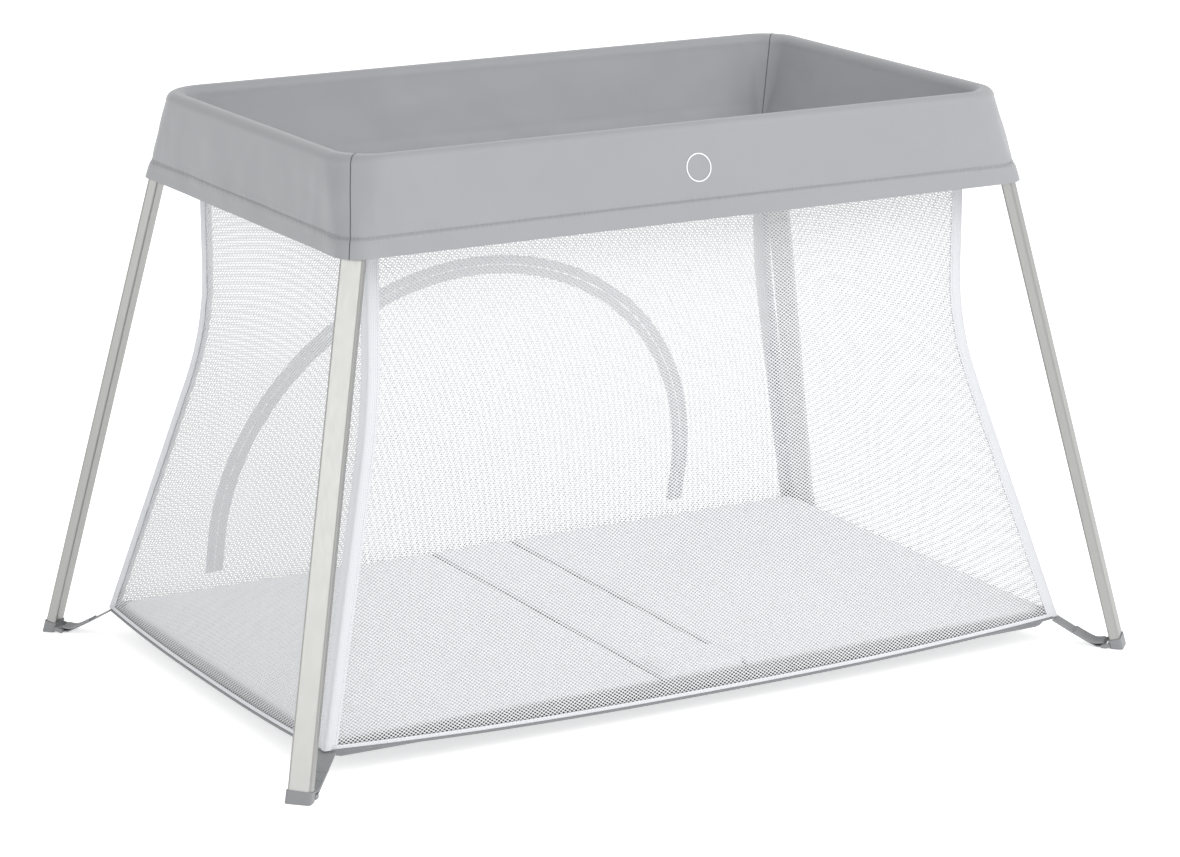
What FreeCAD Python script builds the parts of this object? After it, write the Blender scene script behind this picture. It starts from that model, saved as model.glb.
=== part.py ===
import FreeCAD, Part
import math
import os

from FreeCAD import Matrix, Vector

# Folding playpen.  +X runs along the long sides, +Y to the back wall with the door, +Z up.
# The origin is on the ground at the centre of the four feet.  All sizes are in millimetres.
#
# Two U-shaped halves of the top rail turn on two latch hubs, at the middle of the long sides.
# Folding, the hubs drop, the halves turn upright, the legs turn in beside them, and the two
# mattress panels turn up on either side of the centre strip.

# ---- rim: the fabric band over the top rail ----
RIM_HALF_LENGTH = 447.0
RIM_HALF_DEPTH = 265.0
RIM_TOP = 691.5
BAND_HEIGHT = 109.0
BAND_FLARE_X = 9.0
BAND_FLARE_Y = 20.0
BAND_CORNER_TOP = 60.0
BAND_CORNER_BOTTOM = 30.0
BAND_EDGE_RADIUS = 10.0
BAND_CLOTH = 1.6
SLEEVE_GAP = 0.6
INNER_SKIRT_CORNER_BOTTOM = 6.0
SOFT_GAP = 0.6

# ---- top rail tubes and their plastic corners ----
TUBE_RADIUS = 10.0
TUBE_WALL = 1.3
SPIGOT_GAP = 0.1
SPIGOT_LENGTH = 26.0
ELBOW_STRAIGHT = 5.0
LINK_RADIUS = 9.0
LINK_THICKNESS = 6.0
SCREW_HEAD_RADIUS = 3.2
SCREW_RADIUS = 1.6
SCREW_HEAD_HEIGHT = 0.4

# ---- latch hubs ----
HUB_PIVOT_HALF_SPACING = 17.5
EYE_RADIUS = 8.0
CHEEK_THICKNESS = 3.8
EYE_SIDE_GAP = 0.2
HUB_PIN_RADIUS = 3.5
PIN_GAP = 0.05
CHEEK_RADIUS = 10.0
COLLAR_START = 13.0
COLLAR_LENGTH = 4.0
HOUSING_HALF_LENGTH = 30.5
HOUSING_TOP_DROP = 12.0
HOUSING_HEIGHT = 46.0
HOUSING_WALL = 2.2
HOUSING_EDGE_RADIUS = 4.0
BUTTON_DROP = 38.0
BUTTON_RADIUS = 12.0
BUTTON_FLANGE_RADIUS = 14.0
BUTTON_FLANGE = 1.6
BUTTON_PROUD = 4.2
BUTTON_EDGE_RADIUS = 1.2
BUTTON_DEPTH = 11.0
BUTTON_HOLE_GAP = 0.4
BUTTON_TRAVEL = 4.0
BOLT_HALF_LENGTH = 25.5
BOLT_HALF_HEIGHT = 5.0
BOLT_THICKNESS = 3.4
BOLT_NOSE_LENGTH = 6.0
BOLT_NOSE_SHORTFALL = 1.6
SPRING_RADIUS = 6.0
SPRING_WIRE = 1.2
SPRING_POST = 0.9
SPRING_GAPS = 4
SPRING_END_GAP = 0.5
RING_RADIUS = 16.5
RING_WIDTH = 1.2
RING_THICKNESS = 0.5
RING_GAP = 0.02
RING_DROP = 50.0

# ---- legs ----
FOOT_HALF_LENGTH = 560.0
FOOT_HALF_DEPTH = 359.0
LEG_WIDTH = 28.0
LEG_THICKNESS = 13.0
LEG_WALL = 1.5
LEG_EDGE_RADIUS = 3.0
LEG_INSET = 17.5
LEG_TOP_BELOW_PIVOT = 18.0
KNUCKLE_RADIUS = 8.0
KNUCKLE_NECK_HALF = 7.0
KNUCKLE_WIDTH = 14.0
KNUCKLE_INSET = 4.0
KNUCKLE_SPIGOT = 30.0
KNUCKLE_SHOULDER = 3.0
KNUCKLE_SIDE_GAP = 0.4
LEG_PIN_RADIUS = 4.0
PIN_HEAD_RADIUS = 6.5
PIN_HEAD = 1.5
FOOT_CAP_WALL = 1.5
FOOT_CAP_HEIGHT = 13.0
FOOT_CAP_FLOOR = 7.0
FOOT_CAP_EDGE_RADIUS = 4.0
FOOT_CAP_GAP = 0.05
STRAP_LOOP_REACH = 10.0
STRAP_LOOP_BAR = 3.0
STRAP_LOOP_LOW = 4.0
STRAP_LOOP_HIGH = 9.0

# ---- mesh walls, floor sheet and straps ----
FLOOR_Z = 20.0
SHEET_THICKNESS = 1.5
WALL_TOP_HALF_LENGTH = 402.0
WALL_TOP_HALF_DEPTH = 225.0
WALL_FOOT_HALF_LENGTH = 507.0
WALL_FOOT_HALF_DEPTH = 310.0
WALL_BEND_Z = 400.0
WALL_BEND_TANGENT = 70.0
WALL_OVERLAP = 12.0
MESH_THICKNESS = 1.5
SEAM_TAPE_WIDTH = 14.0
SEAM_TAPE_THICKNESS = 0.8
BINDING_WIDTH = 5.0
BINDING_HEIGHT = 7.0
STRAP_WIDTH = 26.0
STRAP_THICKNESS = 1.6
STRAP_SAG = 3.0

# ---- mattress ----
MATTRESS_HALF_LENGTH = 497.0
MATTRESS_HALF_DEPTH = 297.0
BOARD_THICKNESS = 2.0
PAD_THICKNESS = 20.0
STRIP_HALF_WIDTH = 58.0
BOARD_INSET = 5.0
PAD_CORNER_RADIUS = 22.0
PANEL_GAP = 0.4
FOLD_GAP = 1.8

# ---- door in the back wall ----
DOOR_CENTRE_X = -25.0
DOOR_RADIUS = 338.0
DOOR_SPRING_Z = 104.0
DOOR_BOTTOM_Z = 60.0
DOOR_CUT = 0.6
DOOR_TAPE_WIDTH = 12.0
DOOR_TAPE_THICKNESS = 0.8
SLIDER_WIDTH = 9.0
SLIDER_LENGTH = 14.0
SLIDER_THICKNESS = 5.0
SLIDER_EDGE_RADIUS = 1.2
EAR_THICKNESS = 1.0
EAR_RADIUS = 1.8
EAR_GAP = 0.5
PULL_WIDTH = 6.0
PULL_LENGTH = 32.0
PULL_THICKNESS = 1.6
PULL_PIN_RADIUS = 1.2
PULL_EYE_RADIUS = 2.4

# ---- places that follow from the sizes above ----
RAIL_INSET = BAND_CLOTH + SLEEVE_GAP + TUBE_RADIUS
RAIL_X = RIM_HALF_LENGTH - RAIL_INSET
RAIL_Y = RIM_HALF_DEPTH - RAIL_INSET
RAIL_Z = RIM_TOP - RAIL_INSET
EYE_THICKNESS = 2 * (TUBE_RADIUS - CHEEK_THICKNESS - EYE_SIDE_GAP)
BEND_RADIUS = BAND_CORNER_TOP - RAIL_INSET
ELBOW_ARM = BEND_RADIUS + ELBOW_STRAIGHT
BAND_BOTTOM = RIM_TOP - BAND_HEIGHT
WALL_BOTTOM = FLOOR_Z + SHEET_THICKNESS
WALL_TOP = BAND_BOTTOM + WALL_OVERLAP
MATTRESS_TOP = WALL_BOTTOM + PANEL_GAP + BOARD_THICKNESS + PAD_THICKNESS
LEG_HALF_DIAGONAL = (LEG_WIDTH + LEG_THICKNESS) / 2 * math.sqrt(0.5)
PANEL_DEPTH = MATTRESS_TOP - WALL_BOTTOM
FOLDED_LEG_X = STRIP_HALF_WIDTH + PANEL_DEPTH + FOLD_GAP + LEG_HALF_DIAGONAL
LEG_PIVOT_Z = RAIL_Z - (FOLDED_LEG_X - HUB_PIVOT_HALF_SPACING)

FOOT = Vector(FOOT_HALF_LENGTH, FOOT_HALF_DEPTH, 0)
LEG_GUIDE = Vector(
    RIM_HALF_LENGTH + BAND_FLARE_X - LEG_INSET,
    RIM_HALF_DEPTH + BAND_FLARE_Y - LEG_INSET,
    BAND_BOTTOM,
)
LEG_UP = (LEG_GUIDE - FOOT).normalize()
LEG_LENGTH = LEG_PIVOT_Z / LEG_UP.z
LEG_PIVOT = FOOT + LEG_UP * LEG_LENGTH
KNUCKLE_OUTER_Y = LEG_PIVOT.y - KNUCKLE_INSET + KNUCKLE_WIDTH / 2
KNUCKLE_INNER_Y = KNUCKLE_OUTER_Y - KNUCKLE_WIDTH
LINK_OUTER_Y = KNUCKLE_INNER_Y - KNUCKLE_SIDE_GAP
LINK_INNER_Y = LINK_OUTER_Y - LINK_THICKNESS

WALL_LEAN_X = math.atan((WALL_FOOT_HALF_LENGTH - WALL_TOP_HALF_LENGTH) / (WALL_BEND_Z - WALL_BOTTOM))
WALL_LEAN_Y = math.atan((WALL_FOOT_HALF_DEPTH - WALL_TOP_HALF_DEPTH) / (WALL_BEND_Z - WALL_BOTTOM))
DOOR_RISE = DOOR_RADIUS * math.cos(WALL_LEAN_Y)
BEYOND = 20.0
PAST = 1.0
TINY = 1e-4
PARTS = "parts"


# ---- small helpers ----
def box(low_x, high_x, low_y, high_y, low_z, high_z):
    """Block between two opposite corners."""
    return Part.makeBox(high_x - low_x, high_y - low_y, high_z - low_z, Vector(low_x, low_y, low_z))


def rod(start, end, radius):
    """Round bar between two points."""
    return Part.makeCylinder(radius, (end - start).Length, start, end - start)


def prism(points, along):
    """Straight prism: a closed outline of corner points, moved along a vector."""
    return Part.Face(Part.makePolygon(points + points[:1])).extrude(along)


def fuse(*shapes):
    """One solid from several that touch or overlap."""
    return shapes[0].multiFuse(list(shapes[1:])).removeSplitter()


def mirrored(shape, side_x, side_y):
    """Copy of a right-back shape for the corner or side with these signs."""
    result = shape.copy()
    if side_x < 0:
        result = result.mirror(Vector(0, 0, 0), Vector(1, 0, 0))
    if side_y < 0:
        result = result.mirror(Vector(0, 0, 0), Vector(0, 1, 0))
    return result


def level_edges(shape, level):
    """Edges that lie flat at one height."""
    return [
        edge
        for edge in shape.Edges
        if abs(edge.BoundBox.ZMin - level) < TINY and abs(edge.BoundBox.ZMax - level) < TINY
    ]


def upright_edges(shape):
    """Straight edges that stand upright."""
    return [edge for edge in shape.Edges if edge.BoundBox.XLength < TINY and edge.BoundBox.YLength < TINY]


def rounded_outline(half_x, half_y, radius, level):
    """Closed rounded rectangle about the Z axis at one height."""
    sides = []
    turn = math.sqrt(0.5) * radius
    for quarter in range(4):
        sign_x = 1 if quarter in (0, 3) else -1
        sign_y = 1 if quarter in (0, 1) else -1
        centre = Vector(sign_x * (half_x - radius), sign_y * (half_y - radius), level)
        ends = [centre + Vector(sign_x * radius, 0, 0), centre + Vector(0, sign_y * radius, 0)]
        if quarter in (1, 3):
            ends.reverse()
        middle = centre + Vector(sign_x * turn, sign_y * turn, 0)
        sides.append((ends[0], middle, ends[1]))
    edges = []
    for index, (start, middle, end) in enumerate(sides):
        edges.append(Part.Arc(start, middle, end).toShape())
        edges.append(Part.LineSegment(end, sides[(index + 1) % 4][0]).toShape())
    return Part.Wire(edges)


# ---- mesh walls: upright at the top, leaning out below a soft bend ----
def wall_half(axis, level, offset):
    """Half size of the wall's outer face on the straight lower slope, at one height."""
    foot = WALL_FOOT_HALF_LENGTH if axis == "x" else WALL_FOOT_HALF_DEPTH
    lean = WALL_LEAN_X if axis == "x" else WALL_LEAN_Y
    return foot - (level - WALL_BOTTOM) * math.tan(lean) + offset


def wall_curve(axis, side, offset):
    """Edges of the wall's outline from its top to its foot, moved out by an offset."""
    top = WALL_TOP_HALF_LENGTH if axis == "x" else WALL_TOP_HALF_DEPTH
    lean = WALL_LEAN_X if axis == "x" else WALL_LEAN_Y
    bend_radius = WALL_BEND_TANGENT / math.tan(lean / 2)

    def point(half, level):
        place = side * (half + offset)
        return Vector(place, 0, level) if axis == "x" else Vector(0, place, level)

    upper = point(top, WALL_TOP)
    bend_start = point(top, WALL_BEND_Z + WALL_BEND_TANGENT)
    bend_middle = point(
        top + bend_radius * (1 - math.cos(lean / 2)),
        WALL_BEND_Z + WALL_BEND_TANGENT - bend_radius * math.sin(lean / 2),
    )
    bend_end = point(
        top + WALL_BEND_TANGENT * math.sin(lean),
        WALL_BEND_Z - WALL_BEND_TANGENT * math.cos(lean),
    )
    foot = WALL_FOOT_HALF_LENGTH if axis == "x" else WALL_FOOT_HALF_DEPTH
    lower = point(foot, WALL_BOTTOM)
    edges = [
        Part.LineSegment(upper, bend_start).toShape(),
        Part.Arc(bend_start, bend_middle, bend_end).toShape(),
        Part.LineSegment(bend_end, lower).toShape(),
    ]
    return edges, upper, lower


def wall_volume(axis, offset):
    """Everything between two opposite walls, out to an offset from their outer faces."""
    right, right_top, right_foot = wall_curve(axis, 1, offset)
    left, left_top, left_foot = wall_curve(axis, -1, offset)
    outline = (
        right
        + [Part.LineSegment(right_foot, left_foot).toShape()]
        + left
        + [Part.LineSegment(left_top, right_top).toShape()]
    )
    reach = FOOT_HALF_LENGTH
    along = Vector(0, 1, 0) if axis == "x" else Vector(1, 0, 0)
    face = Part.Face(Part.Wire(Part.__sortEdges__(outline)))
    face.translate(along * -reach)
    return face.extrude(along * 2 * reach)


def pick(shape, axis, side):
    """The piece of a split shape that lies furthest to one side."""
    place = (lambda solid: solid.CenterOfMass.x) if axis == "x" else (lambda solid: solid.CenterOfMass.y)
    return sorted(shape.Solids, key=lambda solid: side * place(solid))[-1]


def make_walls():
    """Four net walls, with the doorway cut out of the back one, and the door's own panel."""
    inside_x = wall_volume("x", -MESH_THICKNESS)
    inside_y = wall_volume("y", -MESH_THICKNESS)
    outside_x = wall_volume("x", 0)
    outside_y = wall_volume("y", 0)
    long_walls = outside_y.cut(inside_y).common(inside_x)
    short_walls = outside_x.cut(inside_x).common(outside_y)
    back = pick(long_walls, "y", 1)
    walls = {
        "front_mesh_wall": pick(long_walls, "y", -1),
        "back_mesh_wall": back.cut(door_prism(0)),
        "left_mesh_wall": pick(short_walls, "x", -1),
        "right_mesh_wall": pick(short_walls, "x", 1),
        "door_flap": back.common(door_prism(-DOOR_CUT)),
    }
    return walls


def make_corner_seam_tapes():
    """Four bent tapes that cover the upright seams between the walls."""
    sleeve = wall_volume("x", SEAM_TAPE_THICKNESS).common(wall_volume("y", SEAM_TAPE_THICKNESS))
    tapes = sleeve.cut(wall_volume("x", 0).common(wall_volume("y", 0)))
    tapes = tapes.cut(wall_volume("x", -SEAM_TAPE_WIDTH))
    tapes = tapes.cut(wall_volume("y", -SEAM_TAPE_WIDTH))
    foot_level = FLOOR_Z + BINDING_HEIGHT
    far = FOOT_HALF_LENGTH
    return tapes.cut(box(-far, far, -far, far, 0, foot_level))


# ---- door: an arch that is round in the plane of the leaning wall ----
def door_prism(offset):
    """Upright arch outline, grown by an offset, through the back wall."""
    radius_x = DOOR_RADIUS + offset
    radius_z = DOOR_RISE + offset
    spring = Vector(DOOR_CENTRE_X, 0, DOOR_SPRING_Z)
    arch = Part.Ellipse(spring + Vector(radius_x, 0, 0), spring + Vector(0, 0, radius_z), spring)
    upper = Part.Face(Part.Wire(arch.toShape())).extrude(Vector(0, FOOT_HALF_LENGTH, 0))
    left, right = DOOR_CENTRE_X - radius_x, DOOR_CENTRE_X + radius_x
    cap = upper.common(box(left, right, -PAST, FOOT_HALF_LENGTH + PAST, DOOR_SPRING_Z, RIM_TOP))
    base = box(left, right, 0, FOOT_HALF_LENGTH, DOOR_BOTTOM_Z - offset, DOOR_SPRING_Z)
    return fuse(base, cap)


def make_door_tapes():
    """Zipper tapes on the outside: one on the wall round the doorway, one on the door's edge."""
    layer = pick(wall_volume("y", DOOR_TAPE_THICKNESS).cut(wall_volume("y", 0)), "y", 1)
    far = FOOT_HALF_LENGTH
    above_bottom = box(-far, far, 0, far, DOOR_BOTTOM_Z, RIM_TOP)
    wall_tape = layer.common(door_prism(DOOR_TAPE_WIDTH)).cut(door_prism(0)).common(above_bottom)
    inner = DOOR_RADIUS - DOOR_TAPE_WIDTH
    below = box(DOOR_CENTRE_X - inner, DOOR_CENTRE_X + inner, 0, far, 0, DOOR_SPRING_Z)
    middle = door_prism(-DOOR_TAPE_WIDTH).fuse(below)
    door_tape = layer.common(door_prism(-DOOR_CUT)).common(above_bottom).cut(middle)
    return wall_tape, door_tape


def make_zipper():
    """Slider at the right foot of the arch, on the tapes, and the pull that hangs from it."""
    surface_y = wall_half("y", DOOR_SPRING_Z, DOOR_TAPE_THICKNESS + SOFT_GAP)
    half = SLIDER_LENGTH / 2
    slider = box(-SLIDER_WIDTH / 2, SLIDER_WIDTH / 2, 0, SLIDER_THICKNESS, -half, half)
    slider = slider.makeFillet(SLIDER_EDGE_RADIUS, slider.Edges)
    pin_y = SLIDER_THICKNESS + PULL_EYE_RADIUS + SOFT_GAP
    half_pull = PULL_WIDTH / 2
    inner = half_pull + EAR_GAP
    outer = inner + EAR_THICKNESS
    root = SLIDER_THICKNESS - PAST
    ears = [
        box(low, low + EAR_THICKNESS, root, pin_y + EAR_RADIUS, -EAR_RADIUS, EAR_RADIUS)
        for low in (-outer, inner)
    ]
    pin = rod(Vector(-outer, pin_y, 0), Vector(outer, pin_y, 0), PULL_PIN_RADIUS)
    slider = fuse(slider, ears[0], ears[1], pin)
    half_plate = PULL_THICKNESS / 2
    plate = box(-half_pull, half_pull, pin_y - half_plate, pin_y + half_plate, -PULL_LENGTH, 0)
    barrel = rod(Vector(-half_pull, pin_y, 0), Vector(half_pull, pin_y, 0), PULL_EYE_RADIUS)
    bore = rod(Vector(-outer, pin_y, 0), Vector(outer, pin_y, 0), PULL_PIN_RADIUS + PIN_GAP)
    pull = fuse(plate, barrel).cut(bore)
    place = FreeCAD.Placement(
        Vector(DOOR_CENTRE_X + DOOR_RADIUS, surface_y, DOOR_SPRING_Z),
        FreeCAD.Rotation(Vector(1, 0, 0), math.degrees(WALL_LEAN_Y)),
    )
    return slider.transformGeometry(place.toMatrix()), pull.transformGeometry(place.toMatrix())


# ---- floor sheet, binding, straps ----
def make_floor_sheet():
    """Base cloth under the mattress, inside the binding."""
    half_x = WALL_FOOT_HALF_LENGTH
    half_y = WALL_FOOT_HALF_DEPTH
    return box(-half_x, half_x, -half_y, half_y, FLOOR_Z, WALL_BOTTOM)


def make_bottom_binding():
    """Piping round the bottom edge of the walls."""
    inner_x = WALL_FOOT_HALF_LENGTH
    inner_y = WALL_FOOT_HALF_DEPTH
    low = FLOOR_Z - (BINDING_HEIGHT - SHEET_THICKNESS) / 2
    high = low + BINDING_HEIGHT
    outer_x = inner_x + BINDING_WIDTH
    outer_y = inner_y + BINDING_WIDTH
    ring = box(-outer_x, outer_x, -outer_y, outer_y, low, high)
    ring = ring.makeFillet(BINDING_WIDTH, upright_edges(ring))
    return ring.cut(box(-inner_x, inner_x, -inner_y, inner_y, low - PAST, high + PAST))


def make_floor_strap():
    """Webbing from the floor's corner, behind the binding, down to the foot's loop."""
    start = Vector(WALL_FOOT_HALF_LENGTH + BINDING_WIDTH, WALL_FOOT_HALF_DEPTH + BINDING_WIDTH, FLOOR_Z)
    out = Vector(1, 1, 0).normalize()
    across = Vector(1, -1, 0).normalize() * STRAP_WIDTH
    loop_face = -(LEG_THICKNESS / 2 + FOOT_CAP_WALL + STRAP_LOOP_REACH)
    end = leg_point(0, loop_face - SOFT_GAP, (STRAP_LOOP_LOW + STRAP_LOOP_HIGH) / 2)
    tip = start + out * (end - start).dot(out) + Vector(0, 0, end.z - start.z)
    middle = (start + tip) / 2 - Vector(0, 0, STRAP_SAG)
    thick = Vector(0, 0, STRAP_THICKNESS)
    outline = [start, middle, tip, tip + thick, middle + thick, start + thick]
    return prism([point - across / 2 for point in outline], across)


# ---- legs: flat tubes, broad face outward along each corner's diagonal ----
def leg_frame():
    """Unit vectors across the leg's width and through its thickness, square to its length."""
    diagonal = Vector(1, 1, 0).normalize()
    outward = (diagonal - LEG_UP * diagonal.dot(LEG_UP)).normalize()
    return outward.cross(LEG_UP), outward


def leg_point(across, outward, up):
    """Point given along the leg's width, its thickness and its length from the ground."""
    width_axis, depth_axis = leg_frame()
    return FOOT + width_axis * across + depth_axis * outward + LEG_UP * up


def on_leg(shape):
    """Move a shape built upright at the origin onto the leg's axis."""
    width_axis, depth_axis = leg_frame()
    place = Matrix(
        width_axis.x, depth_axis.x, LEG_UP.x, FOOT.x,
        width_axis.y, depth_axis.y, LEG_UP.y, FOOT.y,
        width_axis.z, depth_axis.z, LEG_UP.z, FOOT.z,
        0, 0, 0, 1,
    )
    return shape.transformGeometry(place)


def flat_bar(width, thickness, edge_radius, low, high):
    """Flat bar with rounded long edges, upright at the origin."""
    bar = box(-width / 2, width / 2, -thickness / 2, thickness / 2, low, high)
    return bar.makeFillet(edge_radius, upright_edges(bar))


def make_leg_tube():
    """Hollow flat tube from the foot cap to just below the pivot."""
    top = LEG_LENGTH - LEG_TOP_BELOW_PIVOT
    outer = flat_bar(LEG_WIDTH, LEG_THICKNESS, LEG_EDGE_RADIUS, FOOT_CAP_FLOOR, top)
    bore = flat_bar(
        LEG_WIDTH - 2 * LEG_WALL,
        LEG_THICKNESS - 2 * LEG_WALL,
        LEG_EDGE_RADIUS - LEG_WALL,
        FOOT_CAP_FLOOR - PAST,
        top + PAST,
    )
    return on_leg(outer.cut(bore))


def make_foot_cap():
    """Plastic shoe on the leg's end, cut level with the ground, with the strap's loop."""
    wide = LEG_WIDTH + 2 * FOOT_CAP_WALL
    thick = LEG_THICKNESS + 2 * FOOT_CAP_WALL
    shoe = flat_bar(wide, thick, FOOT_CAP_EDGE_RADIUS, -BEYOND, FOOT_CAP_HEIGHT)
    socket = flat_bar(
        LEG_WIDTH + 2 * FOOT_CAP_GAP,
        LEG_THICKNESS + 2 * FOOT_CAP_GAP,
        LEG_EDGE_RADIUS,
        FOOT_CAP_FLOOR,
        FOOT_CAP_HEIGHT + PAST,
    )
    back = -thick / 2
    loop = box(-wide / 2, wide / 2, back - STRAP_LOOP_REACH, back + PAST, STRAP_LOOP_LOW, STRAP_LOOP_HIGH)
    slot_half = wide / 2 - STRAP_LOOP_BAR
    slot = box(
        -slot_half, slot_half,
        back - STRAP_LOOP_REACH + STRAP_LOOP_BAR, back - PAST,
        STRAP_LOOP_LOW - PAST, STRAP_LOOP_HIGH + PAST,
    )
    cap = on_leg(fuse(shoe, loop.cut(slot)).cut(socket))
    far = 2 * FOOT_HALF_LENGTH
    return cap.common(box(0, far, 0, far, 0, RIM_TOP))


def make_leg_knuckle():
    """Moulded plug in the leg's top end, with the eye that turns on the corner's pin."""
    top = LEG_LENGTH - LEG_TOP_BELOW_PIVOT
    bore_gap = 2 * (LEG_WALL + SPIGOT_GAP)
    spigot = on_leg(flat_bar(
        LEG_WIDTH - bore_gap,
        LEG_THICKNESS - bore_gap,
        LEG_EDGE_RADIUS - LEG_WALL,
        top - KNUCKLE_SPIGOT,
        top + PAST,
    ))
    shoulder = on_leg(flat_bar(LEG_WIDTH, LEG_THICKNESS, LEG_EDGE_RADIUS, top, top + KNUCKLE_SHOULDER))
    inner = Vector(LEG_PIVOT.x, KNUCKLE_INNER_Y, LEG_PIVOT.z)
    outer = Vector(LEG_PIVOT.x, KNUCKLE_OUTER_Y, LEG_PIVOT.z)
    barrel = rod(inner, outer, KNUCKLE_RADIUS)
    down = Vector(LEG_UP.x, 0, LEG_UP.z).normalize() * -(LEG_TOP_BELOW_PIVOT - KNUCKLE_SHOULDER / 2)
    side = Vector(-down.z, 0, down.x).normalize() * KNUCKLE_NECK_HALF
    neck = prism([inner - side, inner + side, inner + side + down, inner - side + down], outer - inner)
    past = Vector(0, PAST, 0)
    bore = rod(inner - past, outer + past, LEG_PIN_RADIUS + PIN_GAP)
    return fuse(barrel, neck, shoulder, spigot).cut(bore)


# ---- top rail: straight tubes in moulded corners ----
def make_rail_tubes():
    """Side tube, from the hub's plug to the corner, and the end tube between two corners."""
    side_start = HUB_PIVOT_HALF_SPACING + COLLAR_START + COLLAR_LENGTH
    reach = RAIL_Y - ELBOW_ARM
    side = hollow_tube(Vector(side_start, RAIL_Y, RAIL_Z), Vector(RAIL_X - ELBOW_ARM, RAIL_Y, RAIL_Z))
    end = hollow_tube(Vector(RAIL_X, -reach, RAIL_Z), Vector(RAIL_X, reach, RAIL_Z))
    return side, end


def hollow_tube(start, end):
    """Rail tube between two points."""
    past = (end - start).normalize() * PAST
    return rod(start, end, TUBE_RADIUS).cut(rod(start - past, end + past, TUBE_RADIUS - TUBE_WALL))


def make_corner_bracket():
    """Elbow that joins two rail tubes, with a link plate down to the leg's pivot."""
    corner = Vector(RAIL_X, RAIL_Y, RAIL_Z)
    inward = [Vector(-1, 0, 0), Vector(0, -1, 0)]
    centre = corner - Vector(BEND_RADIUS, BEND_RADIUS, 0)
    section = Part.makeCircle(TUBE_RADIUS, centre + Vector(BEND_RADIUS, 0, 0), Vector(0, 1, 0))
    bend = Part.Face(Part.Wire(section)).revolve(centre, Vector(0, 0, 1), 90)
    arms = [rod(corner + way * BEND_RADIUS, corner + way * ELBOW_ARM, TUBE_RADIUS) for way in inward]
    spigot_radius = TUBE_RADIUS - TUBE_WALL - SPIGOT_GAP
    spigots = [
        rod(corner + way * (ELBOW_ARM - PAST), corner + way * (ELBOW_ARM + SPIGOT_LENGTH), spigot_radius)
        for way in inward
    ]
    thick = Vector(0, LINK_THICKNESS, 0)
    link_rise = (LINK_INNER_Y + LINK_THICKNESS / 2 - centre.y) / BEND_RADIUS
    upper_x = centre.x + BEND_RADIUS * math.cos(math.asin(link_rise))
    upper = Vector(upper_x, LINK_INNER_Y, RAIL_Z)
    lower = Vector(LEG_PIVOT.x, LINK_INNER_Y, LEG_PIVOT.z)
    discs = [rod(end, end + thick, LINK_RADIUS) for end in (upper, lower)]
    slope = lower - upper
    side = Vector(-slope.z, 0, slope.x).normalize() * LINK_RADIUS
    web = prism([upper - side, upper + side, lower + side, lower - side], thick)
    hole = rod(lower - thick, lower + thick * 2, LEG_PIN_RADIUS)
    bracket = fuse(bend, arms[0], arms[1], spigots[0], spigots[1], discs[0], discs[1], web).cut(hole)
    for shape in bracket_screw_shapes():
        bracket = bracket.cut(shape)
    return bracket


def bracket_screw_shapes():
    """Two screws from below, through each tube and into the corner's spigots."""
    mid = ELBOW_ARM + SPIGOT_LENGTH / 2
    places = [Vector(RAIL_X - mid, RAIL_Y, RAIL_Z), Vector(RAIL_X, RAIL_Y - mid, RAIL_Z)]
    shapes = []
    for place in places:
        under = place - Vector(0, 0, TUBE_RADIUS + SCREW_HEAD_HEIGHT)
        head = rod(under, under + Vector(0, 0, SCREW_HEAD_HEIGHT + PAST), SCREW_HEAD_RADIUS)
        shank = rod(under, place, SCREW_RADIUS)
        shapes.append(fuse(head, shank))
    return shapes


def make_leg_pivot_pin():
    """Headed pin through the link plate and the leg's eye."""
    start = Vector(LEG_PIVOT.x, LINK_INNER_Y, LEG_PIVOT.z)
    end = Vector(LEG_PIVOT.x, KNUCKLE_OUTER_Y + KNUCKLE_SIDE_GAP, LEG_PIVOT.z)
    head = Vector(0, PIN_HEAD, 0)
    shank = rod(start - head, end + head, LEG_PIN_RADIUS)
    return fuse(shank, rod(start - head, start, PIN_HEAD_RADIUS), rod(end, end + head, PIN_HEAD_RADIUS))


# ---- latch hub, built for the right-back side, then mirrored ----
def make_rail_end_plug():
    """Plug in the side tube's inner end, with the eye that turns in the hub."""
    pivot = Vector(HUB_PIVOT_HALF_SPACING, RAIL_Y, RAIL_Z)
    half = Vector(0, EYE_THICKNESS / 2, 0)
    eye = rod(pivot - half, pivot + half, EYE_RADIUS)
    collar_x = HUB_PIVOT_HALF_SPACING + COLLAR_START
    tongue_x = collar_x + PAST
    tongue = box(
        pivot.x, tongue_x, RAIL_Y - half.y, RAIL_Y + half.y, RAIL_Z - EYE_RADIUS, RAIL_Z + EYE_RADIUS)
    tongue = tongue.common(rod(pivot, Vector(tongue_x, RAIL_Y, RAIL_Z), TUBE_RADIUS))
    collar_end = collar_x + COLLAR_LENGTH
    collar = rod(Vector(collar_x, RAIL_Y, RAIL_Z), Vector(collar_end, RAIL_Y, RAIL_Z), TUBE_RADIUS)
    spigot_end = Vector(collar_end + SPIGOT_LENGTH, RAIL_Y, RAIL_Z)
    spigot_start = Vector(collar_end - PAST, RAIL_Y, RAIL_Z)
    spigot = rod(spigot_start, spigot_end, TUBE_RADIUS - TUBE_WALL - SPIGOT_GAP)
    bore = rod(pivot - half * 2, pivot + half * 2, HUB_PIN_RADIUS + PIN_GAP)
    return fuse(eye, tongue, collar, spigot).cut(bore)


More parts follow.
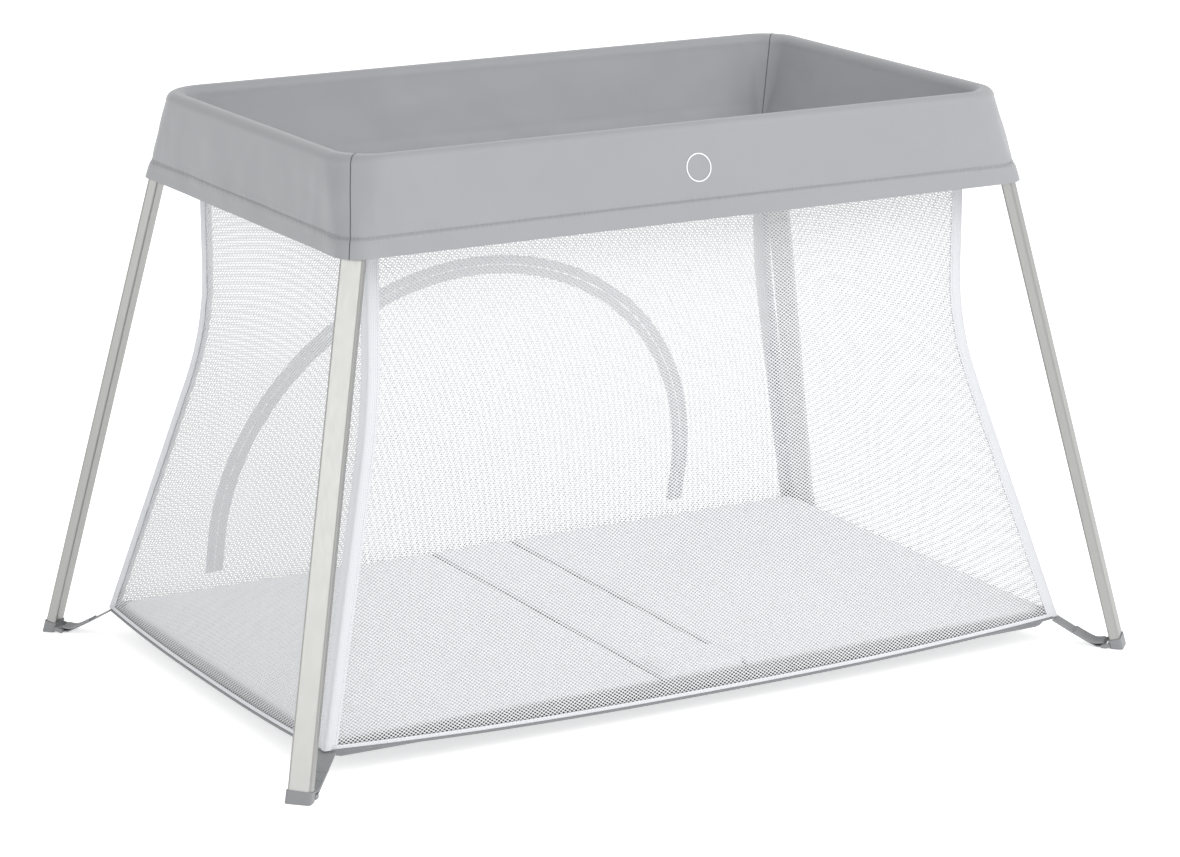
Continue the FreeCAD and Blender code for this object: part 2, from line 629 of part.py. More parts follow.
def make_hub_shell(outer):
    """Half of a back hub: a cheek beside the eyes and half of the housing below them."""
    cheek_inner = EYE_THICKNESS / 2 + EYE_SIDE_GAP
    low_y, high_y = (RAIL_Y + cheek_inner, RAIL_Y + TUBE_RADIUS)
    tray_low, tray_high = (RAIL_Y, RAIL_Y + TUBE_RADIUS)
    if not outer:
        low_y, high_y = (RAIL_Y - TUBE_RADIUS, RAIL_Y - cheek_inner)
        tray_low, tray_high = (RAIL_Y - TUBE_RADIUS, RAIL_Y)
    top = RAIL_Z - HOUSING_TOP_DROP
    bottom = top - HOUSING_HEIGHT
    half = HOUSING_HALF_LENGTH
    pivot = HUB_PIVOT_HALF_SPACING
    cheek = box(-pivot, pivot, low_y, high_y, RAIL_Z - CHEEK_RADIUS, RAIL_Z + CHEEK_RADIUS)
    discs = [rod(Vector(x, low_y, RAIL_Z), Vector(x, high_y, RAIL_Z), CHEEK_RADIUS) for x in (-pivot, pivot)]
    neck = box(-pivot, pivot, low_y, high_y, top - PAST, RAIL_Z)
    tray = box(-half, half, tray_low, tray_high, bottom, top)
    across = [edge for edge in tray.Edges if edge.BoundBox.YLength > TUBE_RADIUS / 2]
    tray = tray.makeFillet(HOUSING_EDGE_RADIUS, across)
    inside = half - HOUSING_WALL
    wall_in = 0 if outer else HOUSING_WALL
    wall_out = HOUSING_WALL if outer else 0
    hollow = box(
        -inside, inside, tray_low + wall_in, tray_high - wall_out, bottom + HOUSING_WALL, top - HOUSING_WALL)
    round_top = rod(Vector(-BEYOND * 2, RAIL_Y, RAIL_Z), Vector(BEYOND * 2, RAIL_Y, RAIL_Z), TUBE_RADIUS)
    below = box(-BEYOND * 2, BEYOND * 2, 0, FOOT_HALF_DEPTH, 0, RAIL_Z)
    cheeks = fuse(cheek, discs[0], discs[1], neck).common(fuse(round_top, below))
    shell = fuse(cheeks, tray).cut(hollow).cut(bolt_slot(top))
    for x in (-pivot, pivot):
        hole_ends = [Vector(x, y, RAIL_Z) for y in (low_y - PAST, high_y + PAST)]
        shell = shell.cut(rod(*hole_ends, HUB_PIN_RADIUS))
    if outer:
        centre = Vector(0, RAIL_Y, RAIL_Z - BUTTON_DROP)
        shell = shell.cut(rod(centre, centre + Vector(0, BEYOND, 0), BUTTON_RADIUS + BUTTON_HOLE_GAP))
    return shell


def bolt_slot(top):
    """Openings in the housing's top that the bolt's two noses pass through."""
    reach = BOLT_HALF_LENGTH + SOFT_GAP
    inner = BOLT_HALF_LENGTH - BOLT_NOSE_LENGTH - SOFT_GAP
    _, flange, _ = button_levels()
    high_y = flange - BUTTON_FLANGE + SOFT_GAP
    low_y = flange - BUTTON_FLANGE - BOLT_THICKNESS - BUTTON_TRAVEL - SOFT_GAP
    low_z = top - HOUSING_WALL - PAST
    left = box(-reach, -inner, low_y, high_y, low_z, top + PAST)
    return left.fuse(box(inner, reach, low_y, high_y, low_z, top + PAST))


def make_hub_pins():
    """Two pivot pins of one hub."""
    reach = TUBE_RADIUS - SOFT_GAP / 2
    pins = [
        rod(Vector(x, RAIL_Y - reach, RAIL_Z), Vector(x, RAIL_Y + reach, RAIL_Z), HUB_PIN_RADIUS)
        for x in (-HUB_PIVOT_HALF_SPACING, HUB_PIVOT_HALF_SPACING)
    ]
    return pins


def button_levels():
    """Depths of the button's face, flange and back, along Y."""
    face = RAIL_Y + TUBE_RADIUS + BUTTON_PROUD
    flange = RAIL_Y + TUBE_RADIUS - HOUSING_WALL - PIN_GAP
    return face, flange, face - BUTTON_DEPTH


def make_button():
    """Round push button with a flange that keeps it in the housing."""
    face, flange, back = button_levels()
    level = RAIL_Z - BUTTON_DROP
    body = rod(Vector(0, back, level), Vector(0, face, level), BUTTON_RADIUS)
    rim = [edge for edge in body.Edges if abs(edge.BoundBox.YMin - face) < TINY]
    body = body.makeFillet(BUTTON_EDGE_RADIUS, rim)
    lip = rod(Vector(0, flange - BUTTON_FLANGE, level), Vector(0, flange, level), BUTTON_FLANGE_RADIUS)
    return fuse(body, lip)


def make_latch_bolt():
    """Bar behind the button's flange, with a nose under each rail end."""
    _, flange, _ = button_levels()
    high_y = flange - BUTTON_FLANGE
    low_y = high_y - BOLT_THICKNESS
    level = RAIL_Z - BUTTON_DROP
    half = BOLT_HALF_LENGTH
    bar = box(-half, half, low_y, high_y, level - BOLT_HALF_HEIGHT, level + BOLT_HALF_HEIGHT)
    nose_top = RAIL_Z - EYE_RADIUS - BOLT_NOSE_SHORTFALL
    noses = [
        box(low, low + BOLT_NOSE_LENGTH, low_y, high_y, level, nose_top)
        for low in (-half, half - BOLT_NOSE_LENGTH)
    ]
    hole = rod(Vector(0, low_y - PAST, level), Vector(0, high_y + PAST, level), BUTTON_RADIUS + PIN_GAP)
    bar = bar.fuse(rod(Vector(0, low_y, level), Vector(0, high_y, level), BUTTON_FLANGE_RADIUS))
    return fuse(bar, noses[0], noses[1]).cut(hole)


def make_button_spring():
    """Spring between the button's back and the housing's inner wall: flat rings joined by posts."""
    _, _, back = button_levels()
    low = RAIL_Y - TUBE_RADIUS + HOUSING_WALL + SPRING_END_GAP
    pitch = (back - SPRING_END_GAP - SPRING_WIRE - low) / SPRING_GAPS
    level = RAIL_Z - BUTTON_DROP
    half = SPRING_WIRE / 2
    post = SPRING_POST / 2
    pieces = []
    for index in range(SPRING_GAPS + 1):
        centre = Vector(0, low + index * pitch, level)
        along = Vector(0, SPRING_WIRE, 0)
        hole = rod(centre - along, centre + along * 2, SPRING_RADIUS - half)
        pieces.append(rod(centre, centre + along, SPRING_RADIUS + half).cut(hole))
    for index in range(SPRING_GAPS):
        side = SPRING_RADIUS if index % 2 else -SPRING_RADIUS
        start = low + index * pitch + half
        pieces.append(box(side - post, side + post, start, start + pitch, level - post, level + post))
    return fuse(*pieces)


def skirt_face_y(level):
    """Outer face of the band on a long side at one height."""
    return RIM_HALF_DEPTH + BAND_FLARE_Y * (RIM_TOP - level) / BAND_HEIGHT


def make_ring_mark():
    """Plain ring on the front of the band, over the front button."""
    level = RIM_TOP - RING_DROP
    out = Vector(0, -1, BAND_FLARE_Y / BAND_HEIGHT).normalize()
    centre = Vector(0, -skirt_face_y(level), level) + out * RING_GAP
    ring = rod(centre, centre + out * RING_THICKNESS, RING_RADIUS)
    return ring.cut(rod(centre - out, centre + out * BEYOND, RING_RADIUS - RING_WIDTH))


# ---- band ----
def skirt_half(top_half, wall_half_size):
    """Half size of the band's inner skirt at its hem, so that it just clears the wall's top edge."""
    clear = wall_half_size - MESH_THICKNESS - SOFT_GAP - BAND_CLOTH
    share = WALL_OVERLAP / BAND_HEIGHT
    return (clear - top_half * share) / (1 - share)


def rim_ring(inset):
    """Solid ring that the band fills, drawn in by an inset on every side but the open bottom."""
    outer = Part.makeLoft([
        rounded_outline(
            RIM_HALF_LENGTH + BAND_FLARE_X - inset,
            RIM_HALF_DEPTH + BAND_FLARE_Y - inset,
            BAND_CORNER_BOTTOM - inset,
            BAND_BOTTOM,
        ),
        rounded_outline(
            RIM_HALF_LENGTH - inset, RIM_HALF_DEPTH - inset, BAND_CORNER_TOP - inset, RIM_TOP - inset),
    ], True, True)
    inner_x = RIM_HALF_LENGTH - 2 * RAIL_INSET
    inner_y = RIM_HALF_DEPTH - 2 * RAIL_INSET
    inner_corner = BAND_CORNER_TOP - 2 * RAIL_INSET
    pocket = Part.makeLoft([
        rounded_outline(
            skirt_half(inner_x, WALL_TOP_HALF_LENGTH) + inset,
            skirt_half(inner_y, WALL_TOP_HALF_DEPTH) + inset,
            INNER_SKIRT_CORNER_BOTTOM + inset,
            BAND_BOTTOM,
        ),
        rounded_outline(inner_x + inset, inner_y + inset, inner_corner + inset, RIM_TOP - inset),
    ], True, True)
    ring = outer.cut(pocket)
    return ring.makeFillet(BAND_EDGE_RADIUS - inset, level_edges(ring, RIM_TOP - inset))


def make_band():
    """Fabric over the rail, open below: left half, right half and the two covers over the hubs."""
    band = rim_ring(0).cut(rim_ring(BAND_CLOTH))
    far = FOOT_HALF_LENGTH
    split = HUB_PIVOT_HALF_SPACING
    clear = SOFT_GAP / 2
    return {
        "left_rim_band": band.common(box(-far, -split - clear, -far, far, 0, far * 2)),
        "right_rim_band": band.common(box(split + clear, far, -far, far, 0, far * 2)),
        "front_hub_cover": band.common(box(-split + clear, split - clear, -far, 0, 0, far * 2)),
        "back_hub_cover": band.common(box(-split + clear, split - clear, 0, far, 0, far * 2)),
    }


# ---- mattress ----
def make_mattress():
    """Two stiffened panels and the centre strip, laid on the floor sheet."""
    board_low = WALL_BOTTOM + PANEL_GAP
    pad_low = board_low + BOARD_THICKNESS
    start = STRIP_HALF_WIDTH
    half_y = MATTRESS_HALF_DEPTH
    pad = box(start, MATTRESS_HALF_LENGTH, -half_y, half_y, pad_low, MATTRESS_TOP)
    outer = [edge for edge in upright_edges(pad) if edge.BoundBox.XMin > start + PAST]
    pad = pad.makeFillet(PAD_CORNER_RADIUS, outer)
    board = box(
        start + BOARD_INSET, MATTRESS_HALF_LENGTH - BOARD_INSET,
        -half_y + BOARD_INSET, half_y - BOARD_INSET, board_low, pad_low)
    outer = [edge for edge in upright_edges(board) if edge.BoundBox.XMin > start + BOARD_INSET + PAST]
    board = board.makeFillet(PAD_CORNER_RADIUS - BOARD_INSET, outer)
    edge = STRIP_HALF_WIDTH - PANEL_GAP
    strip = box(-edge, edge, -half_y, half_y, WALL_BOTTOM, MATTRESS_TOP)
    return pad, board, strip


# ---- gather and write ----
def sides():
    """Names and signs of the left and right halves."""
    return (("left", -1), ("right", 1))


def depths():
    """Names and signs of the front and back."""
    return (("front", -1), ("back", 1))


def front_and_back(shapes, side):
    """Copies of right-back shapes at the front and the back of one side."""
    return Part.makeCompound([mirrored(shape, side, depth) for shape in shapes for _, depth in depths()])


def make_frame_nodes():
    """Rails, corners, plugs, pins and screws of both rail halves."""
    nodes = {}
    side_rail, end_rail = make_rail_tubes()
    bracket = make_corner_bracket()
    plug = make_rail_end_plug()
    pin = make_leg_pivot_pin()
    screws = bracket_screw_shapes()
    cutters = Part.makeCompound(screws)
    for name, side in sides():
        nodes[name + "_end_rail"] = mirrored(end_rail.cut(cutters).cut(mirrored(cutters, 1, -1)), side, 1)
        for depth_name, depth in depths():
            nodes[f"{name}_{depth_name}_rail"] = mirrored(side_rail.cut(cutters), side, depth)
            nodes[f"{name}_{depth_name}_corner"] = mirrored(bracket, side, depth)
        nodes[name + "_rail_end_plugs"] = front_and_back([plug], side)
        nodes[name + "_leg_pivot_pins"] = front_and_back([pin], side)
        nodes[name + "_corner_screws"] = front_and_back(screws, side)
    return nodes


def make_leg_nodes():
    """Tube, knuckle and foot cap of each leg."""
    nodes = {}
    pieces = {"leg_tube": make_leg_tube(), "leg_knuckle": make_leg_knuckle(), "foot_cap": make_foot_cap()}
    for name, side in sides():
        for depth_name, depth in depths():
            for piece, shape in pieces.items():
                nodes[f"{depth_name}_{name}_{piece}"] = mirrored(shape, side, depth)
    return nodes


def make_hub_nodes():
    """Shells, pins, springs, buttons and bolts of both hubs, and the ring mark."""
    nodes = {
        "hub_outer_shells": front_and_back([make_hub_shell(True)], 1),
        "hub_inner_shells": front_and_back([make_hub_shell(False)], 1),
        "hub_pivot_pins": front_and_back(make_hub_pins(), 1),
        "button_springs": front_and_back([make_button_spring()], 1),
        "ring_mark": make_ring_mark(),
    }
    for depth_name, depth in depths():
        nodes[depth_name + "_latch_button"] = mirrored(make_button(), 1, depth)
        nodes[depth_name + "_latch_bolt"] = mirrored(make_latch_bolt(), 1, depth)
    return nodes


def make_soft_nodes():
    """Walls, tapes, floor, straps, door and mattress."""
    nodes = make_walls()
    nodes["corner_seam_tapes"] = make_corner_seam_tapes()
    nodes["floor_sheet"] = make_floor_sheet()
    nodes["bottom_binding"] = make_bottom_binding()
    strap = make_floor_strap()
    for name, side in sides():
        nodes[name + "_floor_straps"] = front_and_back([strap], side)
    nodes["doorway_tape"], nodes["door_edge_tape"] = make_door_tapes()
    nodes["zipper_slider"], nodes["zipper_pull"] = make_zipper()
    pad, board, strip = make_mattress()
    nodes["mattress_strip"] = strip
    for name, side in sides():
        nodes[name + "_mattress_pad"] = mirrored(pad, side, 1)
        nodes[name + "_mattress_board"] = mirrored(board, side, 1)
    return nodes


def main():
    """Build every node and write one STEP file for each."""
    os.makedirs(PARTS, exist_ok=True)
    nodes = {}
    for group in (make_frame_nodes(), make_leg_nodes(), make_hub_nodes(), make_soft_nodes(), make_band()):
        nodes.update(group)
    for name, shape in nodes.items():
        shape.exportStep(os.path.join(PARTS, name + ".step"))
        print(f"{name}: {len(shape.Solids)} solids, volume {shape.Volume:.0f}, valid {shape.isValid()}")


main()
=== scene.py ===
import math

import bmesh
import bpy
import numpy as np
from bpy.props import FloatProperty, FloatVectorProperty, IntProperty, PointerProperty
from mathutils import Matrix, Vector, noise
from mathutils.geometry import delaunay_2d_cdt


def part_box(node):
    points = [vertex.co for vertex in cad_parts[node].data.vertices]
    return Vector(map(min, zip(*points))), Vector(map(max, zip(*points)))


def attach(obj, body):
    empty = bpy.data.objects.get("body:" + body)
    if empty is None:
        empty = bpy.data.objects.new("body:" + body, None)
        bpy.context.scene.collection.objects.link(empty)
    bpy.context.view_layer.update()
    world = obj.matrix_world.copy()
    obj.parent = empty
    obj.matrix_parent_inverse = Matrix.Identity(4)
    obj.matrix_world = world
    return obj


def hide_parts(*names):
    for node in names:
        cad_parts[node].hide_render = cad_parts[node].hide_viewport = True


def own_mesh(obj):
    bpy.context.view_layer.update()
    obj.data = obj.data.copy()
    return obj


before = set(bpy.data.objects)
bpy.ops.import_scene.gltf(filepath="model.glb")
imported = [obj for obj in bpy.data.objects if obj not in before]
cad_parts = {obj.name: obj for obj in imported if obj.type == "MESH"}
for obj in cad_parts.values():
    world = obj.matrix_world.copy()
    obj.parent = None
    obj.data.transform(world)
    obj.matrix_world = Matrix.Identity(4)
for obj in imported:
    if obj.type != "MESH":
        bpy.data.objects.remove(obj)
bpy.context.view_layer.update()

bl_info = {
    "name": "Folding playpen finishes",
    "version": (1, 0, 0),
    "blender": (4, 5, 0),
    "location": "3D View > Sidebar > Playpen",
    "description": "Sewn band, net walls, arched zip door, mattress and metal finishes for a folding playpen",
    "category": "Object",
}

# The pen's own outline, in metres.
RIM_HALF = np.array([0.447, 0.265])
RIM_FLARE = np.array([0.009, 0.020])
RIM_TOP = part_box("right_rim_band")[1].z
RIM_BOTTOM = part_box("right_rim_band")[0].z
SLEEVE = 0.0244
SKIRT_FOOT = np.array([0.3953, 0.2192])
SKIRT_CORNER = (0.0356, 0.008)
ROUND_EDGE = 0.0112
RING_DROP = 0.050
CORD_SIDES = 8
STRAIGHT_POINTS, CORNER_POINTS, END_POINTS = 70, 16, 84
COVER_HALF = 0.0175
WALL_TOP_HALF = np.array([0.402, 0.225])
WALL_FOOT_HALF = np.array([0.507, 0.310])
WALL_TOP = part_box("right_mesh_wall")[1].z
WALL_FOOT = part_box("right_mesh_wall")[0].z
BEND_Z = 0.400
BEND_TANGENT = 0.070
RAIL_HALF = np.array([0.4348, 0.2528])
RAIL_Z = 0.6793


# ---------------------------------------------------------------- settings
class PlaypenSizes(bpy.types.PropertyGroup):
    """Sizes of the sewn details."""

    cloth: FloatProperty(
        name="Band cloth", description="Thickness of the band's cloth", default=0.0014, unit="LENGTH"
    )
    hem: FloatProperty(name="Hem", description="Height of the band's hem", default=0.023, unit="LENGTH")
    wrinkle: FloatProperty(
        name="Wrinkles", description="Height of the band's soft creases", default=0.0021, unit="LENGTH"
    )
    net_pitch: FloatProperty(
        name="Net pitch", description="Distance between the net's holes", default=0.0056, unit="LENGTH"
    )
    net_open: FloatProperty(
        name="Net hole", description="Hole size as a share of the pitch", default=0.27, min=0.1, max=0.35
    )
    net_bow: FloatProperty(
        name="Net bow", description="How far the walls bow in between corners", default=0.006, unit="LENGTH"
    )
    droop: FloatProperty(
        name="Floor droop", description="How far the floor's edge droops between corners", default=0.014,
        unit="LENGTH"
    )
    stitch: FloatProperty(
        name="Stitch length", description="Length of one stitch", default=0.0032, unit="LENGTH"
    )
    tooth: FloatProperty(
        name="Zip pitch", description="Distance between zip teeth", default=0.0022, unit="LENGTH"
    )
    crown: FloatProperty(
        name="Mattress crown", description="Rise of the mattress between its edges", default=0.0015,
        unit="LENGTH"
    )
    seed: IntProperty(name="Seed", description="Seed of the creases", default=7)


def colour(name, text, value):
    """A colour setting."""
    return FloatVectorProperty(
        name=name, description=text, default=value, subtype="COLOR", size=3, min=0, max=1
    )


class PlaypenColours(bpy.types.PropertyGroup):
    """Colours of cloth, plastic and metal."""

    band: colour("Band", "Woven band over the rail", (0.305, 0.311, 0.326))
    net: colour("Net", "Net of the walls", (0.70, 0.705, 0.722))
    tape: colour("Seam tape", "Tapes on the walls' seams", (0.70, 0.71, 0.74))
    zip_tape: colour("Zip tape", "Tape round the doorway", (0.52, 0.545, 0.565))
    mattress: colour("Mattress", "Knit cover of the mattress", (0.79, 0.798, 0.82))
    webbing: colour("Webbing", "Straps from the floor to the feet", (0.27, 0.275, 0.285))
    piping: colour("Piping", "Cord round the floor's edge", (0.22, 0.225, 0.235))
    alloy: colour("Alloy", "Leg and rail tubes", (0.35, 0.35, 0.34))
    plastic: colour("Plastic", "Feet, corners and hubs", (0.23, 0.235, 0.245))
    thread: colour("Thread", "Stitches on the band", (0.25, 0.255, 0.268))


# ---------------------------------------------------------------- node writing
class Value:
    """A socket that can be used in sums; each operation adds a Math node."""

    def __init__(self, tree, socket):
        self.tree = tree
        self.socket = socket

    def math(self, operation, *others):
        node = self.tree.nodes.new("ShaderNodeMath")
        node.operation = operation
        for slot, item in zip(node.inputs, (self,) + others):
            if isinstance(item, Value):
                self.tree.links.new(item.socket, slot)
            else:
                slot.default_value = item
        return Value(self.tree, node.outputs[0])

    def reflected(self, operation, other):
        node = self.tree.nodes.new("ShaderNodeMath")
        node.operation = operation
        node.inputs[0].default_value = other
        self.tree.links.new(self.socket, node.inputs[1])
        return Value(self.tree, node.outputs[0])

    def __add__(self, other):
        return self.math("ADD", other)

    def __sub__(self, other):
        return self.math("SUBTRACT", other)

    def __mul__(self, other):
        return self.math("MULTIPLY", other)

    def __truediv__(self, other):
        return self.math("DIVIDE", other)

    def __rsub__(self, other):
        return self.reflected("SUBTRACT", other)

    def __pow__(self, other):
        return self.math("POWER", other)

    __radd__ = __add__
    __rmul__ = __mul__

    def near(self, centre, width):
        """1 at a value and 0 a width away on either side, with a smooth fall."""
        away = (self - centre).math("ABSOLUTE") * (1 / width)
        rest = (1 - away).math("MAXIMUM", 0.0)
        return rest * rest * (3 - 2 * rest)

    def above(self, low, high):
        """0 up to one value and 1 from the other, with a smooth rise."""
        rise = ((self - low) * (1 / (high - low))).math("MAXIMUM", 0.0).math("MINIMUM", 1.0)
        return rise * rise * (3 - 2 * rise)


class Finish:
    """One material, and the nodes that make it."""

    def __init__(self, name, base, **constants):
        self.material = bpy.data.materials.new(name)
        self.material.use_nodes = True
        self.tree = self.material.node_tree
        self.shader = self.tree.nodes["Principled BSDF"]
        self.shader.inputs["Base Color"].default_value = (*base, 1)
        for key, value in constants.items():
            self.shader.inputs[key.replace("_", " ")].default_value = value
        self.base = base
        coordinates = self.tree.nodes.new("ShaderNodeTexCoord")
        self.place = coordinates.outputs["Object"]
        self.cloth = coordinates.outputs["UV"]

    def node(self, kind, settings=(), **sockets):
        """Any node: settings first, then values or links for its inputs."""
        node = self.tree.nodes.new(kind)
        for key, value in dict(settings).items():
            setattr(node, key, value)
        for key, value in sockets.items():
            slot = node.inputs[int(key[1:])] if key[0] == "i" and key[1:].isdigit() else node.inputs[key]
            if isinstance(value, Value):
                self.tree.links.new(value.socket, slot)
            elif isinstance(value, bpy.types.NodeSocket):
                self.tree.links.new(value, slot)
            else:
                slot.default_value = value
        return node

    def axes(self, source):
        """The three numbers of a coordinate."""
        node = self.node("ShaderNodeSeparateXYZ", i0=source)
        return [Value(self.tree, out) for out in node.outputs]

    def noise(self, source, scale, detail=2.0, roughness=0.5):
        """Soft cloudy values from 0 to 1."""
        node = self.node("ShaderNodeTexNoise", Vector=source, Scale=scale, Detail=detail, Roughness=roughness)
        return Value(self.tree, node.outputs[0])

    def stretched(self, source, scale):
        """A coordinate drawn out along its axes."""
        node = self.node("ShaderNodeMapping", {"vector_type": "POINT"}, Vector=source, Scale=scale)
        return node.outputs[0]

    def mixed(self, share, first, second):
        """A colour between two colours."""
        node = self.node("ShaderNodeMix", {"data_type": "RGBA"}, i0=share)
        for slot, item in ((node.inputs[6], first), (node.inputs[7], second)):
            if isinstance(item, bpy.types.NodeSocket):
                self.tree.links.new(item, slot)
            else:
                slot.default_value = (*item, 1)
        return node.outputs[2]

    def shade(self, share, low, high):
        """The finish's own colour, darker and lighter by two factors."""
        dark = tuple(min(1, part * low) for part in self.base)
        light = tuple(min(1, part * high) for part in self.base)
        return self.mixed(share, dark, light)

    def put(self, **links):
        """Link values or colours to the shader's inputs."""
        for key, value in links.items():
            socket = value.socket if isinstance(value, Value) else value
            self.tree.links.new(socket, self.shader.inputs[key.replace("_", " ")])
        return self

    def bumps(self, *layers):
        """Stack bump layers: (height value, strength, distance in metres)."""
        normal = None
        for height, strength, distance in layers:
            node = self.node("ShaderNodeBump", Height=height, Strength=strength, Distance=distance)
            if normal is not None:
                self.tree.links.new(normal, node.inputs["Normal"])
            normal = node.outputs[0]
        self.tree.links.new(normal, self.shader.inputs["Normal"])
        return self


def weave(u, v, pitch):
    """Height of a plain weave: threads over and under, at one pitch."""
    across = (u * (math.tau / pitch)).math("SINE")
    along = (v * (math.tau / pitch)).math("SINE")
    return (across * along) * 0.5 + 0.5


# ---------------------------------------------------------------- finishes
FINISHES = {}


def band_finish(colours):
    """Fine plain-woven polyester with a puckered hem seam, and painted shade along the seam."""
    finish = Finish(
        "band_cloth", colours.band, Roughness=0.55, Sheen_Weight=0.35, Sheen_Roughness=0.35,
        Specular_IOR_Level=0.45
    )
    u, v, _ = finish.axes(finish.cloth)
    cloud = finish.noise(finish.place, 9.0, 3.0)
    fine = finish.noise(finish.place, 900.0, 2.0)
    fibre = weave(u, v, 0.0011)
    hem_seam_shade = v.near(0.0, 0.0032)
    pucker = finish.noise(finish.stretched(finish.cloth, (210.0, 30.0, 1.0)), 1.0, 2.0) * v.near(0.0, 0.011)
    tone = cloud * 0.6 + fine * 0.25 + fibre * 0.15
    base = finish.shade(tone, 0.90, 1.09)
    # Painted shade: along the hem seam the cloth is darkened in patches towards 0.48 of its colour.
    seam = hem_seam_shade * (0.02 + 0.62 * finish.noise(finish.stretched(finish.cloth, (260.0, 1.0, 1.0)), 1.0))
    base = finish.mixed(seam, base, tuple(part * 0.48 for part in colours.band))
    finish.put(Base_Color=base, Roughness=0.47 + 0.12 * fine)
    return finish.bumps((fibre, 0.25, 0.0002), (pucker, 0.75, 0.0016), (cloud, 0.2, 0.001)).material


def net_finish(name, base, turn, opening, pitch):
    """Knitted net: staggered round holes in white yarn, seen through; cut from the roll at an angle."""
    finish = Finish(name, base, Roughness=0.75, Sheen_Weight=0.1, Specular_IOR_Level=0.2)
    u, v, _ = finish.axes(finish.cloth)
    a = (u * math.cos(turn) + v * math.sin(turn)) * (1 / pitch)
    b = (v * math.cos(turn) - u * math.sin(turn)) * (1 / (pitch * 0.72))
    near = None
    for shift in (0.0, 0.5):
        du = (a + shift).math("FRACT") - 0.5
        dv = (b + shift).math("FRACT") - 0.5
        reach = (du * du + dv * dv).math("SQRT")
        near = reach if near is None else near.math("MINIMUM", reach)
    yarn = near.above(opening - 0.05, opening + 0.05)
    finish.put(Alpha=yarn, Base_Color=finish.shade(finish.noise(finish.place, 60.0), 0.95, 1.05))
    finish.bumps((yarn, 0.4, 0.0004))
    finish.material.surface_render_method = "DITHERED"
    return finish.material


def tape_finish(name, base, pitch, rough=0.7):
    """Woven tape with a fine ribbed face."""
    finish = Finish(name, base, Roughness=rough, Sheen_Weight=0.2, Specular_IOR_Level=0.3)
    u, v, _ = finish.axes(finish.cloth)
    ribs = (u * (math.tau / pitch)).math("SINE") * 0.5 + 0.5
    cross = (v * (math.tau / (pitch * 1.7))).math("SINE") * 0.5 + 0.5
    grain = finish.noise(finish.place, 700.0)
    tone = ribs * 0.4 + cross * 0.2 + grain * 0.4
    finish.put(Base_Color=finish.shade(tone, 0.86, 1.08), Roughness=rough - 0.08 + 0.16 * grain)
    return finish.bumps((ribs * 0.7 + cross * 0.3, 0.5, 0.0003)).material


def mattress_finish(colours):
    """Brushed knit with small cells, darkened below the top's rounded edge as painted shade."""
    finish = Finish(
        "mattress_knit", colours.mattress, Roughness=0.85, Sheen_Weight=0.35, Sheen_Roughness=0.5,
        Specular_IOR_Level=0.2
    )
    x, y, z = finish.axes(finish.place)
    cells = ((x * 1100.0).math("SINE") * (y * 1400.0).math("SINE")) * 0.5 + 0.5
    cloud = finish.noise(finish.place, 6.0, 3.0)
    fluff = finish.noise(finish.place, 420.0, 3.0)
    base = finish.shade(cloud * 0.45 + fluff * 0.4 + cells * 0.15, 0.86, 1.10)
    # Painted shade: below the top's rounded edge, on the side faces and in the creases between the pieces,
    # the knit is darkened towards 0.26 of its colour.
    painted_edge_shade = 1 - z.above(0.036, 0.0436)
    base = finish.mixed(painted_edge_shade, base, tuple(part * 0.26 for part in colours.mattress))
    finish.put(Base_Color=base, Roughness=0.78 + 0.15 * fluff)
    return finish.bumps((cells, 0.3, 0.0003), (fluff, 0.35, 0.0006), (cloud, 0.25, 0.003)).material


def alloy_finish(colours):
    """Satin anodised aluminium with a faint drawn grain along the tube."""
    finish = Finish("satin_alloy", colours.alloy, Metallic=0.92, Roughness=0.36)
    grain = finish.noise(finish.stretched(finish.place, (260.0, 260.0, 4.0)), 1.0, 3.0)
    cloud = finish.noise(finish.place, 14.0, 3.0)
    scuff = finish.noise(finish.stretched(finish.place, (40.0, 40.0, 8.0)), 1.0, 4.0).above(0.60, 0.75)
    finish.put(
        Base_Color=finish.shade(grain * 0.5 + cloud * 0.5, 0.92, 1.06),
        Roughness=0.30 + 0.14 * grain + 0.06 * cloud + 0.05 * scuff
    )
    return finish.bumps((grain, 0.08, 0.0002)).material


def plastic_finish(name, base, rough=0.5):
    """Moulded plastic with a fine spark-eroded grain."""
    finish = Finish(name, base, Roughness=rough, Specular_IOR_Level=0.45)
    grain = finish.noise(finish.place, 1600.0, 2.0)
    cloud = finish.noise(finish.place, 30.0, 2.0)
    finish.put(
        Base_Color=finish.shade(cloud * 0.6 + grain * 0.4, 0.88, 1.10), Roughness=rough - 0.06 + 0.14 * grain
    )
    return finish.bumps((grain, 0.25, 0.0002)).material


def steel_finish(name, base, rough):
    """Zinc-plated steel, turned."""
    finish = Finish(name, base, Metallic=1.0, Roughness=rough)
    spangle = finish.noise(finish.place, 240.0, 3.0)
    finish.put(Base_Color=finish.shade(spangle, 0.85, 1.08), Roughness=rough - 0.08 + 0.2 * spangle)
    return finish.bumps((spangle, 0.12, 0.0002)).material


